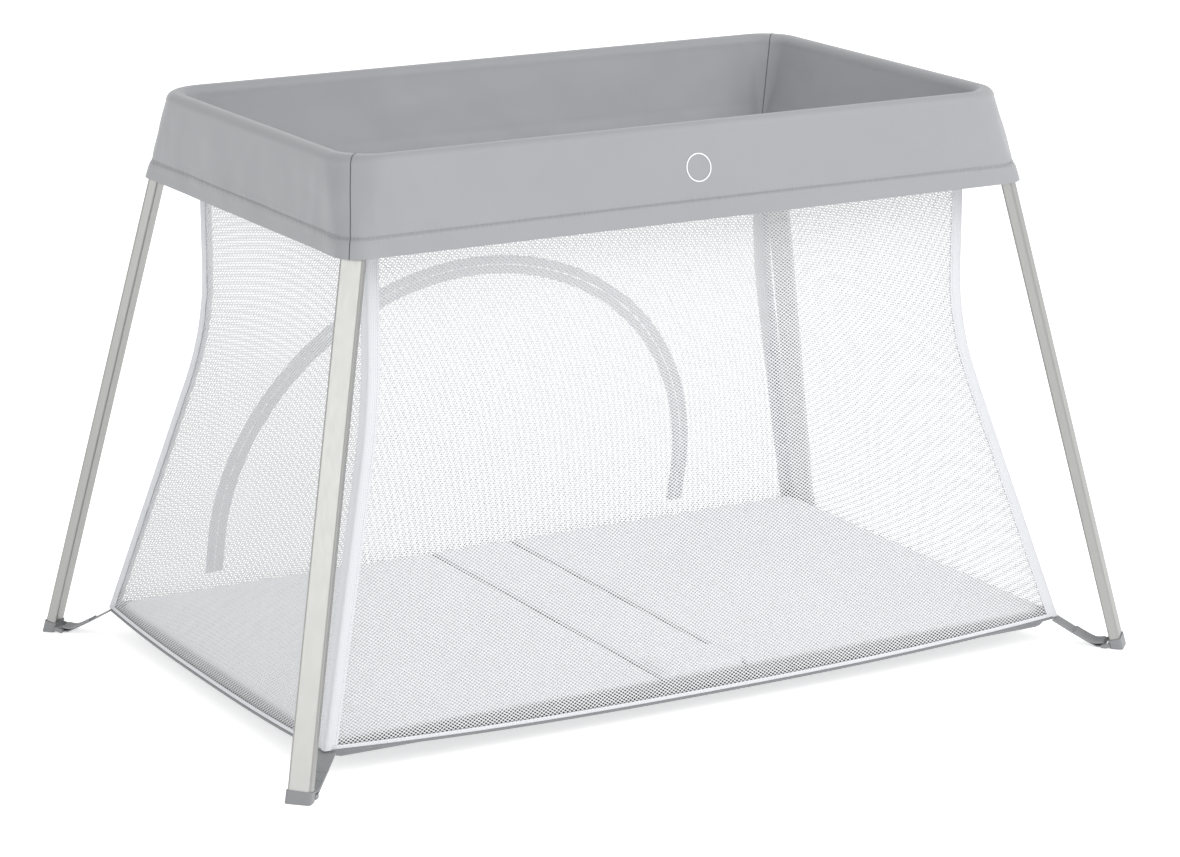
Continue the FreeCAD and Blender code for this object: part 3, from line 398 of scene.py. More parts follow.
def make_finishes(context):
    """Every material, by name."""
    sizes = context.scene.playpen_sizes
    colours = context.scene.playpen_colours
    FINISHES.update(
        band=band_finish(colours),
        net=net_finish("wall_net", colours.net, 0.0, sizes.net_open, sizes.net_pitch),
        net_turned=net_finish(
            "wall_net_turned", colours.net, math.radians(30), sizes.net_open, sizes.net_pitch
        ),
        tape=tape_finish("seam_tape", colours.tape, 0.0016),
        zip_tape=tape_finish("zip_tape", colours.zip_tape, 0.0018),
        webbing=tape_finish("strap_webbing", colours.webbing, 0.0022, 0.65),
        piping=tape_finish("floor_piping", colours.piping, 0.0012, 0.6),
        base_cloth=tape_finish("floor_cloth", colours.piping, 0.0010, 0.7),
        mattress=mattress_finish(colours),
        alloy=alloy_finish(colours),
        plastic=plastic_finish("grey_plastic", colours.plastic),
        button=plastic_finish("button_plastic", (0.30, 0.31, 0.33), 0.35),
        board=plastic_finish("board_sheet", (0.16, 0.16, 0.17), 0.6),
        steel=steel_finish("zinc_steel", (0.62, 0.62, 0.63), 0.38),
        zip_metal=steel_finish("zip_enamel", (0.50, 0.51, 0.53), 0.35),
        teeth=plastic_finish("zip_teeth", (0.52, 0.545, 0.565), 0.4),
        thread=tape_finish("sewing_thread", colours.thread, 0.0008, 0.6),
        seam_thread=tape_finish("seam_thread", tuple(part * 0.32 for part in colours.thread), 0.0008, 0.7),
        pale_thread=tape_finish("pale_thread", colours.tape, 0.0008, 0.6),
        ring=plastic_finish("ring_print", (0.86, 0.87, 0.88), 0.45),
    )


# ---------------------------------------------------------------- mesh building
def add_mesh(name, points, faces, material, uv=None):
    """A mesh object at the origin, with its own UV map in metres."""
    mesh = bpy.data.meshes.new(name)
    mesh.from_pydata([tuple(p) for p in points], [], [tuple(f) for f in faces])
    mesh.update()
    if uv is not None:
        layer = mesh.uv_layers.new(name="cloth")
        loops = np.empty(len(mesh.loops), dtype=np.int32)
        mesh.loops.foreach_get("vertex_index", loops)
        layer.data.foreach_set("uv", np.asarray(uv, dtype=np.float32)[loops].ravel())
    mesh.materials.append(FINISHES[material])
    mesh.polygons.foreach_set("use_smooth", [True] * len(mesh.polygons))
    obj = bpy.data.objects.new(name, mesh)
    bpy.context.scene.collection.objects.link(obj)
    return obj


def grid_faces(rows, columns, offset=0, closed=False):
    """Quads of a grid of points laid out row by row."""
    faces = []
    last = columns if closed else columns - 1
    for i in range(rows - 1):
        for j in range(last):
            a = offset + i * columns + j
            b = offset + i * columns + (j + 1) % columns
            faces.append((a, b, b + columns, a + columns))
    return faces


def normals_of(grid):
    """Unit normals of a grid of points, from its rows and columns."""
    down = np.gradient(grid, axis=0)
    along = np.gradient(grid, axis=1)
    cross = np.cross(along, down)
    return cross / np.maximum(np.linalg.norm(cross, axis=2, keepdims=True), 1e-12)


def lengths_along(grid, axis):
    """Distance walked along each row or column of a grid."""
    steps = np.linalg.norm(np.diff(grid, axis=axis), axis=2)
    pad = [(0, 0), (0, 0)]
    pad[axis] = (1, 0)
    return np.cumsum(np.pad(steps, pad), axis=axis)


def cloudy(point, scale, seed):
    """Smooth noise at a point, from -1 to 1."""
    return noise.noise(Vector((point[0] * scale + seed, point[1] * scale, point[2] * scale)))


def thicken(obj, thickness, offset=-1.0):
    """Give a sheet its cloth's thickness, with crisp open edges."""
    made = bmesh.new()
    made.from_mesh(obj.data)
    for edge in made.edges:
        edge.smooth = not edge.is_boundary
    made.to_mesh(obj.data)
    made.free()
    modifier = obj.modifiers.new("cloth", "SOLIDIFY")
    modifier.thickness = thickness
    modifier.offset = offset
    modifier.use_even_offset = False
    return obj


# ---------------------------------------------------------------- band
def half_outline(half_x, half_y, radii, side):
    """Points round one half of the rim, from the front cover's edge to the back one's."""
    front, back = radii
    points = []
    for t in np.linspace(0, 1, STRAIGHT_POINTS, endpoint=False):
        points.append((COVER_HALF + t * (half_x - front - COVER_HALF), -half_y))
    for angle in np.linspace(-90, 0, CORNER_POINTS, endpoint=False):
        turn = math.radians(angle)
        points.append((half_x - front + front * math.cos(turn), -half_y + front + front * math.sin(turn)))
    for t in np.linspace(0, 1, END_POINTS, endpoint=False):
        points.append((half_x, -half_y + front + t * (2 * half_y - front - back)))
    for angle in np.linspace(0, 90, CORNER_POINTS, endpoint=False):
        turn = math.radians(angle)
        points.append((half_x - back + back * math.cos(turn), half_y - back + back * math.sin(turn)))
    for t in np.linspace(0, 1, STRAIGHT_POINTS):
        points.append((half_x - back + t * (COVER_HALF - half_x + back), half_y))
    line = np.array(points)
    line[:, 0] *= side
    return line


def band_rows():
    """Rows of the band from its inner hem, over the top, to its outer hem.
    Each is (the side it faces, share of the way down, height, how far the round edge draws it in)."""
    rows = []
    shoulder = RIM_TOP - ROUND_EDGE
    fall = RIM_TOP - RIM_BOTTOM - ROUND_EDGE
    for t in np.linspace(1, 0, 26, endpoint=False):
        rows.append(("inner", t, shoulder - t * fall, 0.0))
    for facing, first, last in (("inner", 0, 90), ("outer", 90, 0)):
        for angle in np.linspace(first, last, 8, endpoint=False):
            turn = math.radians(angle)
            rows.append(
                (facing, 0.0, shoulder + ROUND_EDGE * math.sin(turn), ROUND_EDGE * (1 - math.cos(turn)))
            )
    for t in np.linspace(0, 1, 34):
        rows.append(("outer", t, shoulder - t * fall, 0.0))
    return rows


CORNER_RADII = {
    (-1, -1): (0.052, 0.027), (1, -1): (0.060, 0.030), (1, 1): (0.052, 0.027), (-1, 1): (0.060, 0.030)
}


def band_displacement(point, facing, t, sizes):
    """How far the cloth stands off its plain shape: creases, hem and corner drags."""
    x, y, z = point
    seed = sizes.seed
    hem_top = RIM_BOTTOM + sizes.hem
    free = min(1.0, max(0.0, t * 3)) * min(1.0, max(0.0, (1 - t) * 4 + 0.25))
    wave = sizes.wrinkle * (cloudy(point, 11.0, seed) + 0.5 * cloudy(point, 27.0, seed + 3))
    corner = max(0.0, 1 - (RIM_HALF[0] - abs(x)) / 0.16) * max(0.0, 1 - (RIM_HALF[1] - abs(y)) / 0.16)
    drag = 0.0022 * corner * cloudy((x * 1.4, y * 1.4, z * 0.5), 34.0, seed + 9)
    shift = (wave + drag) * free
    if facing == "outer":
        groove = math.exp(-((z - hem_top) / 0.0028) ** 2)
        below = 1 / (1 + math.exp((z - hem_top + 0.004) / 0.0015))
        ripple = 0.00045 * cloudy((x, y, 0.0), 130.0, seed + 21) * math.exp(-((z - hem_top) / 0.008) ** 2)
        shift += -0.0008 * groove + 0.0003 * below + ripple * 1.8
        leg = max(0.0, 1 - math.hypot(RIM_HALF[0] + 0.02 - abs(x), RIM_HALF[1] + 0.014 - abs(y)) / 0.075)
        shift += 0.0022 * leg * below
    else:
        shift = shift * 1.3 - 0.0006 * math.exp(-((z - hem_top) / 0.003) ** 2)
    return shift


def skirt_half(facing, t, drawn):
    """Half sizes of one band row, before its corners are rounded."""
    if facing == "outer":
        return RIM_HALF + RIM_FLARE * t - drawn
    top = RIM_HALF - SLEEVE
    return top + (SKIRT_FOOT - top) * t + drawn


def band_grid(side):
    """Points of one half of the band, or of both covers when side is 0, as a list of grids."""
    rows = band_rows()
    grids = []
    spans = [side] if side else [-1, 1]
    for span in spans:
        points = []
        for facing, t, z, drawn in rows:
            half = skirt_half(facing, t, drawn)
            if side:
                radii = []
                for depth in (-1, 1):
                    top, foot = CORNER_RADII[(side, depth)]
                    if facing == "inner":
                        top, foot = SKIRT_CORNER
                    radius = top + (foot - top) * t
                    radii.append(radius - drawn if facing == "outer" else radius + drawn)
                line = half_outline(half[0], half[1], radii, side)
            else:
                steps = np.linspace(-COVER_HALF, COVER_HALF, 15)
                line = np.column_stack([steps, np.full(15, span * half[1])])
            points.append(np.column_stack([line, np.full(len(line), z)]))
        grids.append(np.array(points))
    return grids, rows


def shaped_band(grid, rows, outward, sizes):
    """The grid with its creases, and the normals it was moved along."""
    normal = normals_of(grid) * outward
    moved = grid.copy()
    for i, (facing, t, *_) in enumerate(rows):
        for j in range(grid.shape[1]):
            moved[i, j] += normal[i, j] * band_displacement(grid[i, j], facing, t, sizes)
    return moved, normal


def band_uv(grid, sizes):
    """UV in metres: along the rim, and up from the hem seam on the outside."""
    u = lengths_along(grid, 1)
    walked = lengths_along(grid, 0)
    v = walked[-1:, :] - walked - sizes.hem
    return np.stack([u, v], axis=2).reshape(-1, 2)


def facing_outward(grid):
    """Whether a grid's normals leave the pen on its last row."""
    normal = normals_of(grid)
    row = grid.shape[0] - 4
    column = grid.shape[1] // 2
    out = np.array([grid[row, column, 0], grid[row, column, 1], 0.0])
    if abs(out[1]) > 0.2 and abs(out[0]) < 0.1:
        out[0] = 0.0
    return 1.0 if np.dot(normal[row, column], out) > 0 else -1.0


def add_grid(name, grid, material, uv, outward):
    """A sheet from a grid of points with its faces turned outward."""
    rows, columns = grid.shape[:2]
    faces = grid_faces(rows, columns)
    if outward < 0:
        faces = [tuple(reversed(face)) for face in faces]
    return add_mesh(name, grid.reshape(-1, 3), faces, material, uv)


# ---------------------------------------------------------------- repeated details
def repeat_tree():
    """Node group that lays small bars along a line: stitches, zip teeth."""
    tree = bpy.data.node_groups.new("bars_along_line", "GeometryNodeTree")
    new_socket = tree.interface.new_socket
    new_socket("Geometry", in_out="INPUT", socket_type="NodeSocketGeometry")
    for name, value in (("Pitch", 0.004), ("Length", 0.003), ("Width", 0.0008), ("Height", 0.0005)):
        new_socket(name, in_out="INPUT", socket_type="NodeSocketFloat").default_value = value
    new_socket("Material", in_out="INPUT", socket_type="NodeSocketMaterial")
    new_socket("Geometry", in_out="OUTPUT", socket_type="NodeSocketGeometry")
    kinds = {
        "source": "NodeGroupInput", "result": "NodeGroupOutput", "curve": "GeometryNodeMeshToCurve",
        "even": "GeometryNodeResampleCurve", "bar": "GeometryNodeMeshIcoSphere",
        "place": "GeometryNodeInstanceOnPoints", "tangent": "GeometryNodeInputTangent",
        "outward": "GeometryNodeInputNamedAttribute", "aim": "FunctionNodeAlignRotationToVector",
        "raise": "FunctionNodeAlignRotationToVector", "size": "ShaderNodeCombineXYZ",
        "real": "GeometryNodeRealizeInstances", "paint": "GeometryNodeSetMaterial",
    }
    nodes = {key: tree.nodes.new(kind) for key, kind in kinds.items()}
    nodes["even"].mode = "LENGTH"
    nodes["bar"].inputs["Radius"].default_value = 0.5
    nodes["bar"].inputs["Subdivisions"].default_value = 1
    nodes["outward"].data_type = "FLOAT_VECTOR"
    nodes["outward"].inputs[0].default_value = "outward"
    nodes["aim"].axis = "X"
    nodes["raise"].axis = "Z"
    nodes["raise"].pivot_axis = "X"
    wires = (
        ("source", "Geometry", "curve", 0), ("curve", 0, "even", 0), ("source", "Pitch", "even", "Length"),
        ("even", 0, "place", "Points"), ("bar", 0, "place", "Instance"), ("tangent", 0, "aim", "Vector"),
        ("aim", 0, "raise", "Rotation"), ("outward", 0, "raise", "Vector"), ("raise", 0, "place", "Rotation"),
        (
            "source", "Length", "size", "X"
        ), ("source", "Width", "size", "Y"), ("source", "Height", "size", "Z"),
        ("size", 0, "place", "Scale"), ("place", 0, "real", 0), ("real", 0, "paint", 0),
        ("source", "Material", "paint", "Material"), ("paint", 0, "result", 0),
    )
    for start, output, end, slot in wires:
        tree.links.new(nodes[start].outputs[output], nodes[end].inputs[slot])
    return tree


def bars_along(name, lines, material, pitch, length, width, height):
    """A plain mesh of small bars along lines; each line is (points, outward directions)."""
    tree = bpy.data.node_groups.get("bars_along_line") or repeat_tree()
    points, edges, outward = [], [], []
    for line, directions in lines:
        start = len(points)
        points += [tuple(p) for p in line]
        outward += [tuple(d) for d in directions]
        edges += [(start + i, start + i + 1) for i in range(len(line) - 1)]
    mesh = bpy.data.meshes.new(name + "_line")
    mesh.from_pydata(points, edges, [])
    attribute = mesh.attributes.new("outward", "FLOAT_VECTOR", "POINT")
    attribute.data.foreach_set("vector", np.array(outward, dtype=np.float32).ravel())
    guide = bpy.data.objects.new(name + "_line", mesh)
    bpy.context.scene.collection.objects.link(guide)
    modifier = guide.modifiers.new("bars", "NODES")
    modifier.node_group = tree
    sockets = {item.name: item.identifier for item in tree.interface.items_tree if item.in_out == "INPUT"}
    values = {"Pitch": pitch, "Length": length, "Width": width, "Height": height}
    for key, value in values.items():
        modifier[sockets[key]] = value
    modifier[sockets["Material"]] = FINISHES[material]
    bpy.context.view_layer.update()
    evaluated = guide.evaluated_get(bpy.context.evaluated_depsgraph_get())
    made = bpy.data.meshes.new_from_object(evaluated)
    made.name = name
    if not made.materials:
        made.materials.append(FINISHES[material])
    guide.modifiers.remove(modifier)
    bpy.data.objects.remove(guide)
    obj = bpy.data.objects.new(name, made)
    bpy.context.scene.collection.objects.link(obj)
    if not made.polygons:
        raise RuntimeError(name + " came out empty")
    return obj


def cord_round(name, path, radius, material):
    """Round cord along a closed path of points."""
    count = len(path)
    tangent = np.roll(path, -1, axis=0) - np.roll(path, 1, axis=0)
    tangent /= np.linalg.norm(tangent, axis=1, keepdims=True)
    side = np.cross(tangent, np.array([0, 0, 1.0]))
    side /= np.maximum(np.linalg.norm(side, axis=1, keepdims=True), 1e-9)
    up = np.cross(side, tangent)
    points, faces = [], []
    for k in range(CORD_SIDES):
        angle = math.tau * k / CORD_SIDES
        points += list(path + (side * math.cos(angle) + up * math.sin(angle)) * radius)
        here, following = k * count, (k + 1) % CORD_SIDES * count
        for j in range(count):
            beyond = (j + 1) % count
            faces.append((here + j, following + j, following + beyond, here + beyond))
    walked = np.concatenate([[0], np.cumsum(np.linalg.norm(np.diff(path, axis=0), axis=1))])
    round_it = np.repeat(np.arange(CORD_SIDES) * radius * 0.8, count)
    return add_mesh(name, points, faces, material, np.column_stack([np.tile(walked, CORD_SIDES), round_it]))


# ---------------------------------------------------------------- walls
WALL_LEAN = np.arctan((WALL_FOOT_HALF - WALL_TOP_HALF) / (BEND_Z - WALL_FOOT))
BEND_RADIUS = BEND_TANGENT / np.tan(WALL_LEAN / 2)


def wall_half(index, z):
    """Half size of the pen inside its net at a height: upright, a soft bend, then a straight slope."""
    top, foot = WALL_TOP_HALF[index], WALL_FOOT_HALF[index]
    lean, radius = WALL_LEAN[index], BEND_RADIUS[index]
    if z >= BEND_Z + BEND_TANGENT:
        return top
    if z <= BEND_Z - BEND_TANGENT * math.cos(lean):
        return foot - (z - WALL_FOOT) * math.tan(lean)
    fall = BEND_Z + BEND_TANGENT - z
    return top + radius - math.sqrt(radius * radius - fall * fall)


def foot_height(index, s, sizes):
    """Height of the floor's edge along a side, from corner to corner (s from -1 to 1)."""
    sag = sizes.droop if index == 1 else sizes.droop * 0.6
    return WALL_FOOT + sizes.droop - sag * (1 - abs(s) ** 2.4)


def wall_place(index, sign, along, z, sizes, lift=0.0):
    """Point on a wall: index 1 is a long wall, 0 an end wall; along is measured from its middle."""
    half_along = wall_half(1 - index, z)
    s = clamped(along / half_along, -1.0, 1.0)
    arc = math.sin(math.pi * clamped((z - WALL_FOOT) / (WALL_TOP - WALL_FOOT), 0.0, 1.0))
    bow = sizes.net_bow * (1 - s * s) * arc * (1.0 if index == 1 else 0.7)
    ripple = 0.0012 * cloudy((along, sign * 0.3 + index, z), 9.0, sizes.seed) * (1 - abs(s)) * arc
    out = sign * (wall_half(index, z) - bow - ripple + lift)
    return (along, out, z) if index == 1 else (out, along, z)


def wall_outward(index, sign, z):
    """Direction that leaves a wall at a height."""
    step = 0.002
    slope = (wall_half(index, z + step) - wall_half(index, z - step)) / (2 * step)
    out = Vector((0, sign, -slope)) if index == 1 else Vector((sign, 0, -slope))
    return out.normalized()


def clamped(value, low, high):
    """A value kept between two others."""
    return max(low, min(high, value))


def add_wall(name, index, sign, sizes):
    """One plain net wall as a fine grid."""
    rows, columns = 64, 92 if index == 1 else 60
    grid = np.zeros((rows, columns, 3))
    uv = np.zeros((rows, columns, 2))
    for j, s in enumerate(np.linspace(-1, 1, columns)):
        foot = foot_height(index, s, sizes)
        walked = 0.0
        last = None
        for i, t in enumerate(np.linspace(0, 1, rows)):
            z = foot + (WALL_TOP - foot) * t
            point = wall_place(index, sign, s * wall_half(1 - index, z), z, sizes)
            grid[i, j] = point
            if last is not None:
                walked += (Vector(point) - last).length
            last = Vector(point)
            uv[i, j] = (s * wall_half(1 - index, z), walked + foot - WALL_FOOT)
    normal = normals_of(grid)[rows // 2, columns // 2]
    outward = 1.0 if normal[index] * sign > 0 else -1.0
    return add_grid(name, grid, "net_turned" if name == "net_right" else "net", uv.reshape(-1, 2), outward)


# ---------------------------------------------------------------- doorway
DOOR_X = -0.025
DOOR_RADIUS = 0.338
DOOR_SPRING_Z = 0.104
DOOR_SILL_Z = 0.060
DOOR_GAP = 0.0006
DOOR_TAPE = 0.0120
TAPE_LIFT = 0.0004
DOOR_RISE = DOOR_RADIUS * math.cos(WALL_LEAN[1])


def in_door(x, z, offset):
    """Whether a point of the back wall lies in the doorway, grown by an offset."""
    if z < DOOR_SILL_Z - offset:
        return False
    if z < DOOR_SPRING_Z:
        return abs(x - DOOR_X) < DOOR_RADIUS + offset
    return math.hypot((x - DOOR_X) / (DOOR_RADIUS + offset), (z - DOOR_SPRING_Z) / (DOOR_RISE + offset)) < 1


def arch_line(offset):
    """Points up one side of the doorway, over its arch and down the other, as (along, height)."""
    reach = DOOR_RADIUS + offset
    line = [(DOOR_X - reach, z) for z in np.linspace(DOOR_SILL_Z, DOOR_SPRING_Z, 6, endpoint=False)]
    for angle in np.linspace(math.pi, 0, 120):
        line.append(
            (DOOR_X + reach * math.cos(angle), DOOR_SPRING_Z + (DOOR_RISE + offset) * math.sin(angle))
        )
    line += [(DOOR_X + reach, z) for z in np.linspace(DOOR_SPRING_Z, DOOR_SILL_Z, 7)[1:]]
    return line


def sill_line(offset):
    """Points along the doorway's sill, from right to left, between the arch's ends."""
    reach = DOOR_RADIUS + offset
    return [(DOOR_X + x, DOOR_SILL_Z) for x in np.linspace(reach, -reach, 50)[1:-1]]


def cut_sheet(name, loops, keep, sizes, material):
    """A back-wall sheet cut along loops; keep tells which points stay."""
    step = 0.0125
    points, edges = [], []
    for loop in loops:
        start = len(points)
        points += loop
        edges += [(start + i, start + (i + 1) % len(loop)) for i in range(len(loop))]
    for x in np.arange(-0.52, 0.52, step):
        for z in np.arange(0.02, WALL_TOP, step):
            if keep(x, z, step * 0.4):
                points.append((x, z))
    flat, _, faces, *_ = delaunay_2d_cdt([Vector(p) for p in points], edges, [], 0, 1e-6)
    kept = []
    for face in faces:
        x = sum(flat[k].x for k in face) / 3
        z = sum(flat[k].y for k in face) / 3
        if keep(x, z, 0.0):
            kept.append(tuple(face))
    used = sorted({k for face in kept for k in face})
    index = {k: n for n, k in enumerate(used)}
    placed = [wall_place(1, 1, flat[k].x, flat[k].y, sizes) for k in used]
    uv = [(flat[k].x, (flat[k].y - WALL_FOOT) / math.cos(WALL_LEAN[1])) for k in used]
    turned = [tuple(index[k] for k in reversed(face)) for face in kept]
    return add_mesh(name, placed, turned, material, uv)


def tape_round_arch(name, low, high, sizes):
    """Flat tape beside the doorway's edge, between two offsets."""
    rows = []
    for offset in np.linspace(low, high, 4):
        rows.append([wall_place(1, 1, x, z, sizes, TAPE_LIFT) for x, z in arch_line(offset)])
    grid = np.array(rows)
    u = lengths_along(grid, 1)
    v = lengths_along(grid, 0)
    normal = normals_of(grid)[1, 60]
    obj = add_grid(
        name, grid, "zip_tape", np.stack([v, u], axis=2).reshape(-1, 2), 1.0 if normal[1] > 0 else -1.0
    )
    return thicken(obj, 0.0007, 1.0)


def arch_guide(offset, sizes, lift):
    """Line beside the doorway's edge, with the directions that leave the wall."""
    line = arch_line(offset)
    points = [wall_place(1, 1, x, z, sizes, lift) for x, z in line]
    return points, [wall_outward(1, 1, z) for _, z in line]


# ---------------------------------------------------------------- floor, tapes, straps
def foot_loop(sizes, lift=0.0, raise_by=0.0):
    """Closed line round the floor's edge with small round corners."""
    line = []
    spans = ((1, -1, 1), (0, 1, 1), (1, 1, -1), (0, -1, -1))
    for index, sign, way in spans:
        share, count = ((0.97, 76), (0.982, 120))[index]
        for s in np.linspace(-share, share, count) * way:
            z = foot_height(index, s, sizes)
            line.append(
                Vector(wall_place(index, sign, s * wall_half(1 - index, z), z, sizes, lift))
                + Vector((0, 0, raise_by))
            )
    return np.array([tuple(p) for p in line])


def outward_of_loop(line):
    """Unit directions that leave a closed level line."""
    along = np.roll(line, -1, axis=0) - np.roll(line, 1, axis=0)
    out = np.column_stack([along[:, 1], -along[:, 0], np.zeros(len(line))])
    return out / np.linalg.norm(out, axis=1, keepdims=True)


LEG_FOOT = Vector((0.560, 0.359, 0.0))
LEG_UP = (Vector((0.4385, 0.2675, 0.5825)) - LEG_FOOT).normalized()
LEG_OUT = (Vector((1, 1, 0)).normalized() - LEG_UP * Vector((1, 1, 0)).normalized().dot(LEG_UP)).normalized()
LEG_ACROSS = LEG_OUT.cross(LEG_UP)


def softened(points, times):
    """A path with its corners cut, a few times over."""
    line = [Vector(p) for p in points]
    for _ in range(times):
        cut = [line[0]]
        for a, b in zip(line, line[1:]):
            cut += [a * 0.75 + b * 0.25, a * 0.25 + b * 0.75]
        line = cut + [line[-1]]
    return line


def strap_path(sizes):
    """Webbing from the floor's corner, round the bar behind the foot, and back to its stitching."""
    start = Vector((WALL_FOOT_HALF[0] - 0.006, WALL_FOOT_HALF[1] - 0.006, WALL_FOOT + sizes.droop - 0.004))
    bar = LEG_FOOT - LEG_OUT * 0.0165 + LEG_UP * 0.0065
    near = bar - LEG_OUT * 0.0042 - LEG_UP * 0.0022
    way = (near - start)
    middle = start + way * 0.5 - Vector((0, 0, 0.0008))
    wrap = [
        near,
        bar - LEG_UP * 0.0039,
        bar + LEG_OUT * 0.0030 - LEG_UP * 0.001,
        bar + LEG_OUT * 0.0018 + LEG_UP * 0.0044,
        bar - LEG_OUT * 0.0035 + LEG_UP * 0.0046,
    ]
    back = [
        start + way * share
        + Vector((0, 0, 0.0018 - 0.0008 * 4 * share * (1 - share))) for share in (0.85, 0.62, 0.45)
    ]
    line = softened([start, start + way * 0.22 - Vector((0, 0, 0.0004)), middle] + wrap + back, 3)
    return [Vector((point.x, point.y, max(point.z, 0.0014))) for point in line]


def mirrored_points(points, sx, sy):
    """Right-back points carried to another corner."""
    return [(p[0] * sx, p[1] * sy, p[2]) for p in points]


# ---------------------------------------------------------------- mattress
def inset_loop(low, high, radii, inset, counts):
    """Closed rounded outline of a panel, drawn in by an inset."""
    x0, x1 = low[0] + inset, high[0] - inset
    y0, y1 = low[1] + inset, high[1] - inset
    x1, y1 = max(x0, x1), max(y0, y1)
    corners = ((x0, y0, 180), (x1, y0, 270), (x1, y1, 0), (x0, y1, 90))
    points = []
    for k, (x, y, angle) in enumerate(corners):
        radius = max(min(radii[k] - inset, (x1 - x0) / 2, (y1 - y0) / 2), 0.0)
        cx = x + radius if k in (0, 3) else x - radius
        cy = y + radius if k in (0, 1) else y - radius
        for turn in np.linspace(angle, angle + 90, 9):
            points.append(
                (cx + radius * math.cos(math.radians(turn)), cy + radius * math.sin(math.radians(turn)))
            )
        nx, ny, na = corners[(k + 1) % 4]
        following = max(min(radii[(k + 1) % 4] - inset, (x1 - x0) / 2, (y1 - y0) / 2), 0.0)
        ex = nx + following * math.cos(math.radians(na)) + (
            following if (k + 1) % 4 in (0, 3) else -following
        )
        ey = ny + following * math.sin(math.radians(na)) + (
            following if (k + 1) % 4 in (0, 1) else -following
        )
        start = points[-1]
        for share in np.linspace(0, 1, counts[k % 2] + 2)[1:-1]:
            points.append((start[0] + (ex - start[0]) * share, start[1] + (ey - start[1]) * share))
    return points


def pad_rows(low_z, high_z, reach):
    """Rows of a pad as (inset, height), from the middle of its underside to the middle of its top."""
    low_round, top_round = 0.003, 0.011
    rows = [(reach, low_z), (reach * 0.5, low_z), (0.03, low_z), (0.012, low_z)]
    for angle in np.linspace(90, 0, 5):
        turn = math.radians(angle)
        rows.append((low_round * (1 - math.cos(turn)), low_z + low_round * (1 - math.sin(turn))))
    for angle in np.linspace(0, 90, 8):
        turn = math.radians(angle)
        rows.append((top_round * (1 - math.cos(turn)), high_z - top_round * (1 - math.sin(turn))))
    for inset in (0.012, 0.0145, 0.018, 0.023, 0.030, 0.040):
        rows.append((inset, high_z))
    for inset in np.linspace(0.052, reach, 14):
        rows.append((inset, high_z))
    return rows


def add_pad(name, low, high, radii, sizes, seam_inset):
    """A flat stuffed panel with soft round edges, a sewn line near them and a light crown."""
    reach = min(high[0] - low[0], high[1] - low[1]) / 2 - 0.0002
    rows = pad_rows(low[2], high[2], reach)
    middle = (low[2] + high[2]) / 2
    points, uv = [], []
    columns = 0
    for inset, z in rows:
        loop = inset_loop(low, high, radii, min(inset, reach), (46, 62))
        columns = len(loop)
        for x, y in loop:
            lift = 0.0
            if z > middle:
                lift = sizes.crown * (1 - math.exp(-inset / 0.03)) - 0.0012 * math.exp(
                    -((inset - seam_inset) / 0.0022) ** 2
                )
                lift += 0.0007 * cloudy((x, y, 0.0), 14.0, sizes.seed) * min(1.0, inset / 0.03)
                lift -= 0.0010 * min(1.0, inset / 0.03)
            points.append((x, y, z + lift))
            uv.append((x, y))
    faces = grid_faces(len(rows), columns, closed=True)
    obj = add_mesh(name, points, faces, "mattress", uv)
    weld(obj, 0.0006)
    return obj


def weld(obj, distance):
    """Join points that coincide and turn the faces outward."""
    made = bmesh.new()
    made.from_mesh(obj.data)
    bmesh.ops.remove_doubles(made, verts=made.verts, dist=distance)
    bmesh.ops.holes_fill(made, edges=[edge for edge in made.edges if edge.is_boundary], sides=0)
    bmesh.ops.recalc_face_normals(made, faces=made.faces)
    for face in made.faces:
        face.smooth = True
    made.to_mesh(obj.data)
    made.free()


# ---------------------------------------------------------------- finishing helpers
def settings(context):
    return context.scene.playpen_sizes


def on_walls(obj):
    """Cloth of the pen's box: attached to the walls-and-floor body, with a mesh of its own."""
    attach(obj, "walls_and_floor")
    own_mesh(obj)
    return obj


def on_door(obj):
    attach(obj, "door")
    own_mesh(obj)
    return obj


def on_rim(obj, side):
    """Cloth on a rail half, attached to that half's frame body with a mesh of its own, or on the hubs."""
    if side:
        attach(obj, ("left_frame", "right_frame")[side > 0])
        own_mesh(obj)
    else:
        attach(obj, "hubs")
    return obj


def dress(node, finish):
    """Give a CAD node its finish."""
    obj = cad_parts[node]
    for slot in obj.material_slots:
        slot.material = FINISHES[finish]


# ---------------------------------------------------------------- operators
class PLAYPEN_OT_finishes(bpy.types.Operator):
    """Make every cloth, plastic and metal finish"""

    bl_idname = "playpen.finishes"
    bl_label = "Finishes"

    def execute(self, context):
        make_finishes(context)
        return {"FINISHED"}


